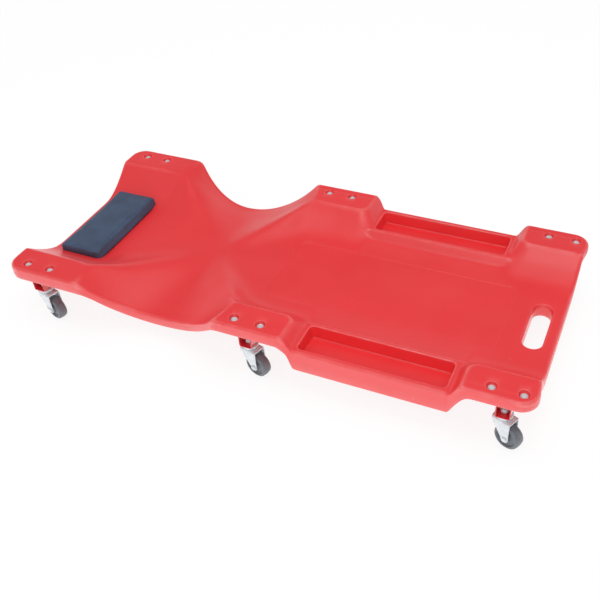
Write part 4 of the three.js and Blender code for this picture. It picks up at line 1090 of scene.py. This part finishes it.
wheel_half = [(3.45, 10.6, 0.3), (6.9, 10.6, 0.8), (8.1, 6.4, 1.4), (16.0, 6.0, 1.6), (17.6, 9.4, 0.7),
              (20.4, 9.5, 1.8), (22.9, 7.6, 2.4)]
wheel_corners = wheel_half + [(24.05, 0.0, 26.0)] + [(r, -y, c) for r, y, c in wheel_half[::-1]]
wheel_profile = closed(rounded(wheel_corners, 6))
wheel_skin = turned(wheel_profile, 72)[..., [0, 2, 1]] + [WHEEL_X, 0, WHEEL_Z]

# %% Casters
TRAIL_ANGLE = {"head": -17, "middle": -15, "foot": -23}
for zone, zone_x in CASTER_X.items():
    for label, side in (("left", 1), ("right", -1)):
        name, angle = f"{zone}_{label}", TRAIL_ANGLE[zone]
        at = (zone_x, side)
        new_piece(f"{name}_bracket_strip", moved(bracket_patches, *at), bracket_paint, "root",
                  [f"{name}_bracket"], sharp_deg=50)
        for bolt, end in (("a", -1), ("b", 1)):
            skin = placed(bolt_skin, zone_x + end * BOLT_PITCH / 2, side)
            new_piece(f"{name}_carriage_bolt_{bolt}", [grid(skin)], zinc_plate, "root",
                      [f"{name}_bolt_{bolt}"])
        for piece, skin in (("stem", stem_skin), ("stem_nut", stem_nut_skin), ("race_cup", cup_skin)):
            new_piece(f"{name}_{piece}_finished", [grid(placed(skin, *at))], zinc_plate, "root",
                      [f"{name}_{piece}"])
        new_piece(f"{name}_stamped_fork", moved(fork_patches, *at, angle), zinc_plate, f"swivel_{name}",
                  [f"{name}_fork"], sharp_deg=50)
        new_piece(f"{name}_axle_rivet", [grid(placed(axle_skin, *at, angle))], zinc_plate,
                  f"swivel_{name}", [f"{name}_axle"])
        new_piece(f"{name}_moulded_wheel", [grid(placed(wheel_skin, *at, angle))], wheel_plastic,
                  f"wheel_{name}", [f"{name}_wheel"], sharp_deg=50)

# %% [markdown]
# ## Headrest
# The headrest is a block of firm foam on a board, wrapped in vinyl whose edges are folded under and
# stapled. A closed blank a little smaller than the cushion is remeshed into even squares and blown
# up from inside by a cloth simulation, with its underside held, so the top crowns and the sides
# swell between their tighter corners. A point may move by 1.7 mm at most: d becomes
# c * tanh(|d| / c) in its own direction. The folds come after that, because they are finer than
# the remeshed squares.

# %% Cushion blank and swelling
PAD_LOW, PAD_TOP, PAD_ROUND, PAD_CAP, BOARD_TOP = 68.8, 89.6, 2.4, 1.7, 73.8
blank_rings = [(2.4, PAD_LOW), (1.0, PAD_LOW + 1.4), (0.0, PAD_LOW + 3.4), (0.0, PAD_TOP - PAD_ROUND)]
blank_rings += [(PAD_ROUND * (1 - np.cos(a)), PAD_TOP - PAD_ROUND * (1 - np.sin(a)))
                for a in np.linspace(0.3, np.pi / 2, 5)]
blank_points = []
for inset, z in blank_rings:
    a, b = 44.6 - inset + 2.2 * (z < 80), 106.0 - inset
    plan = rounded([(-a, -b, 4.0), (a, -b, 4.0), (a, b, 4.0), (-a, b, 4.0)], 6)
    blank_points.append(np.column_stack([plan[:, 0] + PAD_X, plan[:, 1], np.full(len(plan), z)]))
blank = bpy.data.meshes.new("cushion_blank")
blank.from_pydata((np.concatenate(blank_points) * MM).tolist(), [], [])
work = bmesh.new()
work.from_mesh(blank)
bmesh.ops.convex_hull(work, input=work.verts)
work.to_mesh(blank)
work.free()
cushion = bpy.data.objects.new("headrest_cover", blank)
bpy.context.scene.collection.objects.link(cushion)


def baked(piece):
    """Make the piece's modifiers part of its mesh, and return its points in mm."""
    graph = bpy.context.evaluated_depsgraph_get()
    piece.data = bpy.data.meshes.new_from_object(piece.evaluated_get(graph), depsgraph=graph)
    piece.modifiers.clear()
    return mesh_points(piece.data)


def set_points(mesh, points):
    """Move the mesh's points to places in mm."""
    mesh.vertices.foreach_set("co", (points * MM).ravel())
    mesh.update()


remesh = cushion.modifiers.new("even_squares", "REMESH")
remesh.mode, remesh.voxel_size = "VOXEL", 2.2 * MM
rest = baked(cushion)
held = cushion.vertex_groups.new(name="held")
held.add(np.nonzero(rest[:, 2] < PAD_LOW + 1.0)[0].tolist(), 1.0, "REPLACE")
swell = cushion.modifiers.new("swell", "CLOTH")
swell.settings.quality = 6
swell.settings.mass = 0.3
swell.settings.tension_stiffness = swell.settings.compression_stiffness = 20
swell.settings.shear_stiffness = 8
swell.settings.bending_stiffness = 4
swell.settings.vertex_group_mass = "held"
swell.settings.use_pressure = True
swell.settings.uniform_pressure_force = 4
swell.settings.effector_weights.gravity = 0
swell.collision_settings.use_collision = False
swell.point_cache.frame_start, swell.point_cache.frame_end = 1, 20
for frame_number in range(1, 21):
    bpy.context.scene.frame_set(frame_number)
swollen = baked(cushion)
bpy.context.scene.frame_set(1)
move = swollen - rest
length = np.maximum(np.linalg.norm(move, axis=1, keepdims=True), 1e-6)
print("cushion points", len(rest), "largest free move", length.max().round(1), "mm")
points = rest + move / length * PAD_CAP * np.tanh(length / PAD_CAP)
points[:, 2] = np.maximum(points[:, 2], PAD_LOW)
set_points(cushion.data, points)
cushion.vertex_groups.clear()
finer = cushion.modifiers.new("finer", "SUBSURF")
finer.levels = finer.render_levels = 1
points = baked(cushion)

# %% [markdown]
# The vinyl is gathered where it is pulled round the board, so the foot of each side is puckered, and
# at each corner it is folded over the end of the cushion, which leaves a slanting tuck. The tuck is
# a step and a furrow across its line, with t mm measured from the line: 0.5 * s(t) -
# 0.8 * exp(-(t / 0.9)^2). Underneath, the foam leaves room for the board.

# %% Cushion folds
x, y, z = points[:, 0] - PAD_X, points[:, 1], points[:, 2]
drop = np.clip((PAD_TOP - z) / (PAD_TOP - PAD_LOW), 0, 1)
at_end = eased((np.abs(y) - 101.5) / 2.5) * eased((z - PAD_LOW) / 2) * eased(drop / 0.12)
from_line = PAD_HALF[0] - np.abs(x) - (3.2 + 8.5 * drop)
tuck = 0.5 * (1 - eased((from_line + 0.8) / 1.6)) - 0.8 * np.exp(-(from_line / 0.9) ** 2)
points[:, 1] += np.sign(y) * tuck * at_end
on_side = eased((np.abs(x) - 40.5) / 2.0)
on_end = eased((np.abs(y) - 102.0) / 2.0)
near_foot = np.exp(-(z - PAD_LOW) / 4.5) * eased((z - PAD_LOW) / 1.5)
pucker_side = np.sin(y / 2.6 + 2.0 * np.sin(y / 17.0)) * (0.6 + 0.4 * np.sin(y / 11.0 + 1.0))
pucker_end = np.sin(x / 2.4 + 1.5 * np.sin(x / 13.0)) * (0.6 + 0.4 * np.sin(x / 8.0))
points[:, 0] += np.sign(x) * 0.45 * pucker_side * near_foot * on_side
points[:, 1] += np.sign(y) * 0.45 * pucker_end * near_foot * on_end
on_top = eased((z - PAD_TOP + 2.5) / 2.5)
wave = np.sin(x / 13.0 + 1.3) * np.sin(y / 21.0 + 0.4) + 0.6 * np.sin(x / 7.0 - y / 15.0)
points[:, 2] += 0.28 * wave * on_top
inside = np.minimum(38.7 - np.abs(x), 100.2 - np.abs(y))
lifted = PAD_LOW + (BOARD_TOP + 0.4 - PAD_LOW) * eased(inside / 0.9)
points[:, 2] = np.where((z < PAD_LOW + 0.9) & (inside > 0), lifted, points[:, 2])
side_limit = 45.6 + 2.4 * eased((z - 70.4) / 1.6)
points[:, 0] = PAD_X + np.clip(points[:, 0] - PAD_X, -side_limit, side_limit)
points[:, 1] = np.clip(points[:, 1], -107.1, 107.1)
set_points(cushion.data, points)
cushion.data.shade_smooth()
cushion.data.materials.clear()
cushion.data.materials.append(headrest_vinyl)
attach(cushion, "root")
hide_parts("headrest_cushion")
print("cushion box", points.min(axis=0).round(1), points.max(axis=0).round(1))

# %% [markdown]
# Two wood screws come up through the deck into the board, with their heads in round sinks underneath.

# %% Board and its screws
HEAD_FACE = SINK_FLOOR - 0.3 - 3.0
screw_rows = [(0, HEAD_FACE + 1.4), (2.0, HEAD_FACE + 1.4), (2.3, HEAD_FACE)]
screw_rows += [(r, z) for r, z in rounded([(2.3, HEAD_FACE, 0), (5.0, HEAD_FACE + 0.2, 1.6),
                                           (5.0, HEAD_FACE + 3.0, 0.2), (2.0, HEAD_FACE + 3.0, 0)],
                                          5, False)[1:]]
shank = thread(2.2, HEAD_FACE + 3.2, 70.4, 1.6, 0.5)
screw_rows = np.concatenate([screw_rows, shank, [(1.0, 71.8), (0, 72.0)]])
socket = [0, 2.3, 2.6] + [0] * (len(screw_rows) - 3)
for label, side in (("left", 1), ("right", -1)):
    skin = turned(screw_rows, 36, socket) + [PAD_X, side * SCREW_Y, 0]
    new_piece(f"headrest_{label}_wood_screw", [grid(skin)], zinc_plate, "root",
              [f"headrest_screw_{label}"])

board = bpy.data.objects["headrest_board"].data
board.materials.clear()
board.materials.append(headrest_board)

# %% [markdown]
# ## Floor, light and view
# Product photographs of this kind are taken on a white sweep under large soft lamps. What the gloss
# mirrors counts most on plastic: the ceiling stays darker than the horizon, which keeps the red
# deep on top, and the floor shines in front of the creeper and fades behind it, so that the near
# skirts turn pale and the far walls don't. The floor is a big plane, and the background is white to
# the camera. A large lamp overhead and one in front light the colours evenly, and a smaller one
# beside the camera draws soft highlights along the edges.

# %% Stage
span = 12.0
floor = bpy.data.meshes.new("floor")
floor.from_pydata([(-span, -span, 0), (span, -span, 0), (span, span, 0), (-span, span, 0)], [],
                  [(0, 1, 2, 3)])
floor = bpy.data.objects.new("floor", floor)
bpy.context.scene.collection.objects.link(floor)
floor_paint, tree, place = new_material("white_matt_paint")
paint = add(tree, "BsdfPrincipled", {
    "Base Color": "#f4f4f4", "Roughness": 0.9, "Specular IOR Level": 0.1})
path = add(tree, "LightPath").outputs
depth = add(tree, "SeparateXYZ", [place]).outputs["Y"]
gain = add(tree, "MapRange", [depth, 0.1, 0.7, 0.6, -0.6])
bright = add(tree, "Math", [path["Is Glossy Ray"], gain, 1.03], operation="MULTIPLY_ADD")
sweep = add(tree, "Emission", {"Color": "#ffffff", "Strength": bright})
seen = add(tree, "Math", [path["Is Camera Ray"], 0.85], operation="MULTIPLY")
seen = add(tree, "Math", [seen, path["Is Glossy Ray"]], operation="MAXIMUM", use_clamp=True)
add(tree, "OutputMaterial", [add(tree, "MixShader", [seen, paint, sweep])])
floor.data.materials.append(floor_paint)

world = bpy.data.worlds.new("studio")
bpy.context.scene.world = world
world.use_nodes = True
tree = world.node_tree
tree.nodes.clear()
height = add(tree, "SeparateXYZ", [add(tree, "TexCoord").outputs["Generated"]]).outputs["Z"]
ceiling = add(tree, "MapRange", [height, 0.08, 0.50, 0.85, 0.10])
path = add(tree, "LightPath").outputs
lit, mirrored, white = (add(tree, "Background", {"Color": "#ffffff", "Strength": strength})
                        for strength in (0.72, ceiling, 1.0))
lit = add(tree, "MixShader", [path["Is Glossy Ray"], lit, mirrored])
add(tree, "OutputWorld", [add(tree, "MixShader", [path["Is Camera Ray"], lit, white])])


def lamp(name, place, aim, size, power, mirrored=True):
    """A square area lamp that looks at a point. The one over the object isn't mirrored in it."""
    data = bpy.data.lights.new(name, "AREA")
    data.shape, data.size, data.energy = "SQUARE", size, power
    item = bpy.data.objects.new(name, data)
    item.visible_glossy = mirrored
    z = np.array(place, float) - np.array(aim, float)
    z /= np.linalg.norm(z)
    x = np.cross([0.0, 1.0, 0.001], z)
    x /= np.linalg.norm(x)
    y = np.cross(z, x)
    item.matrix_world = Matrix([[*row, p] for row, p in zip(np.column_stack([x, y, z]), place)]
                               + [[0, 0, 0, 1]])
    bpy.context.scene.collection.objects.link(item)


lamp("overhead", (0.2, -0.1, 2.4), (0, 0, 0), 1.6, 15.5, mirrored=False)
lamp("front", (0.5, -2.4, 1.3), (0, 0, 0), 1.4, 6)
lamp("key", (0.4, -1.7, 2.3), (0, 0, 0), 0.6, 6)
bpy.context.scene.view_settings.view_transform = "Standard"
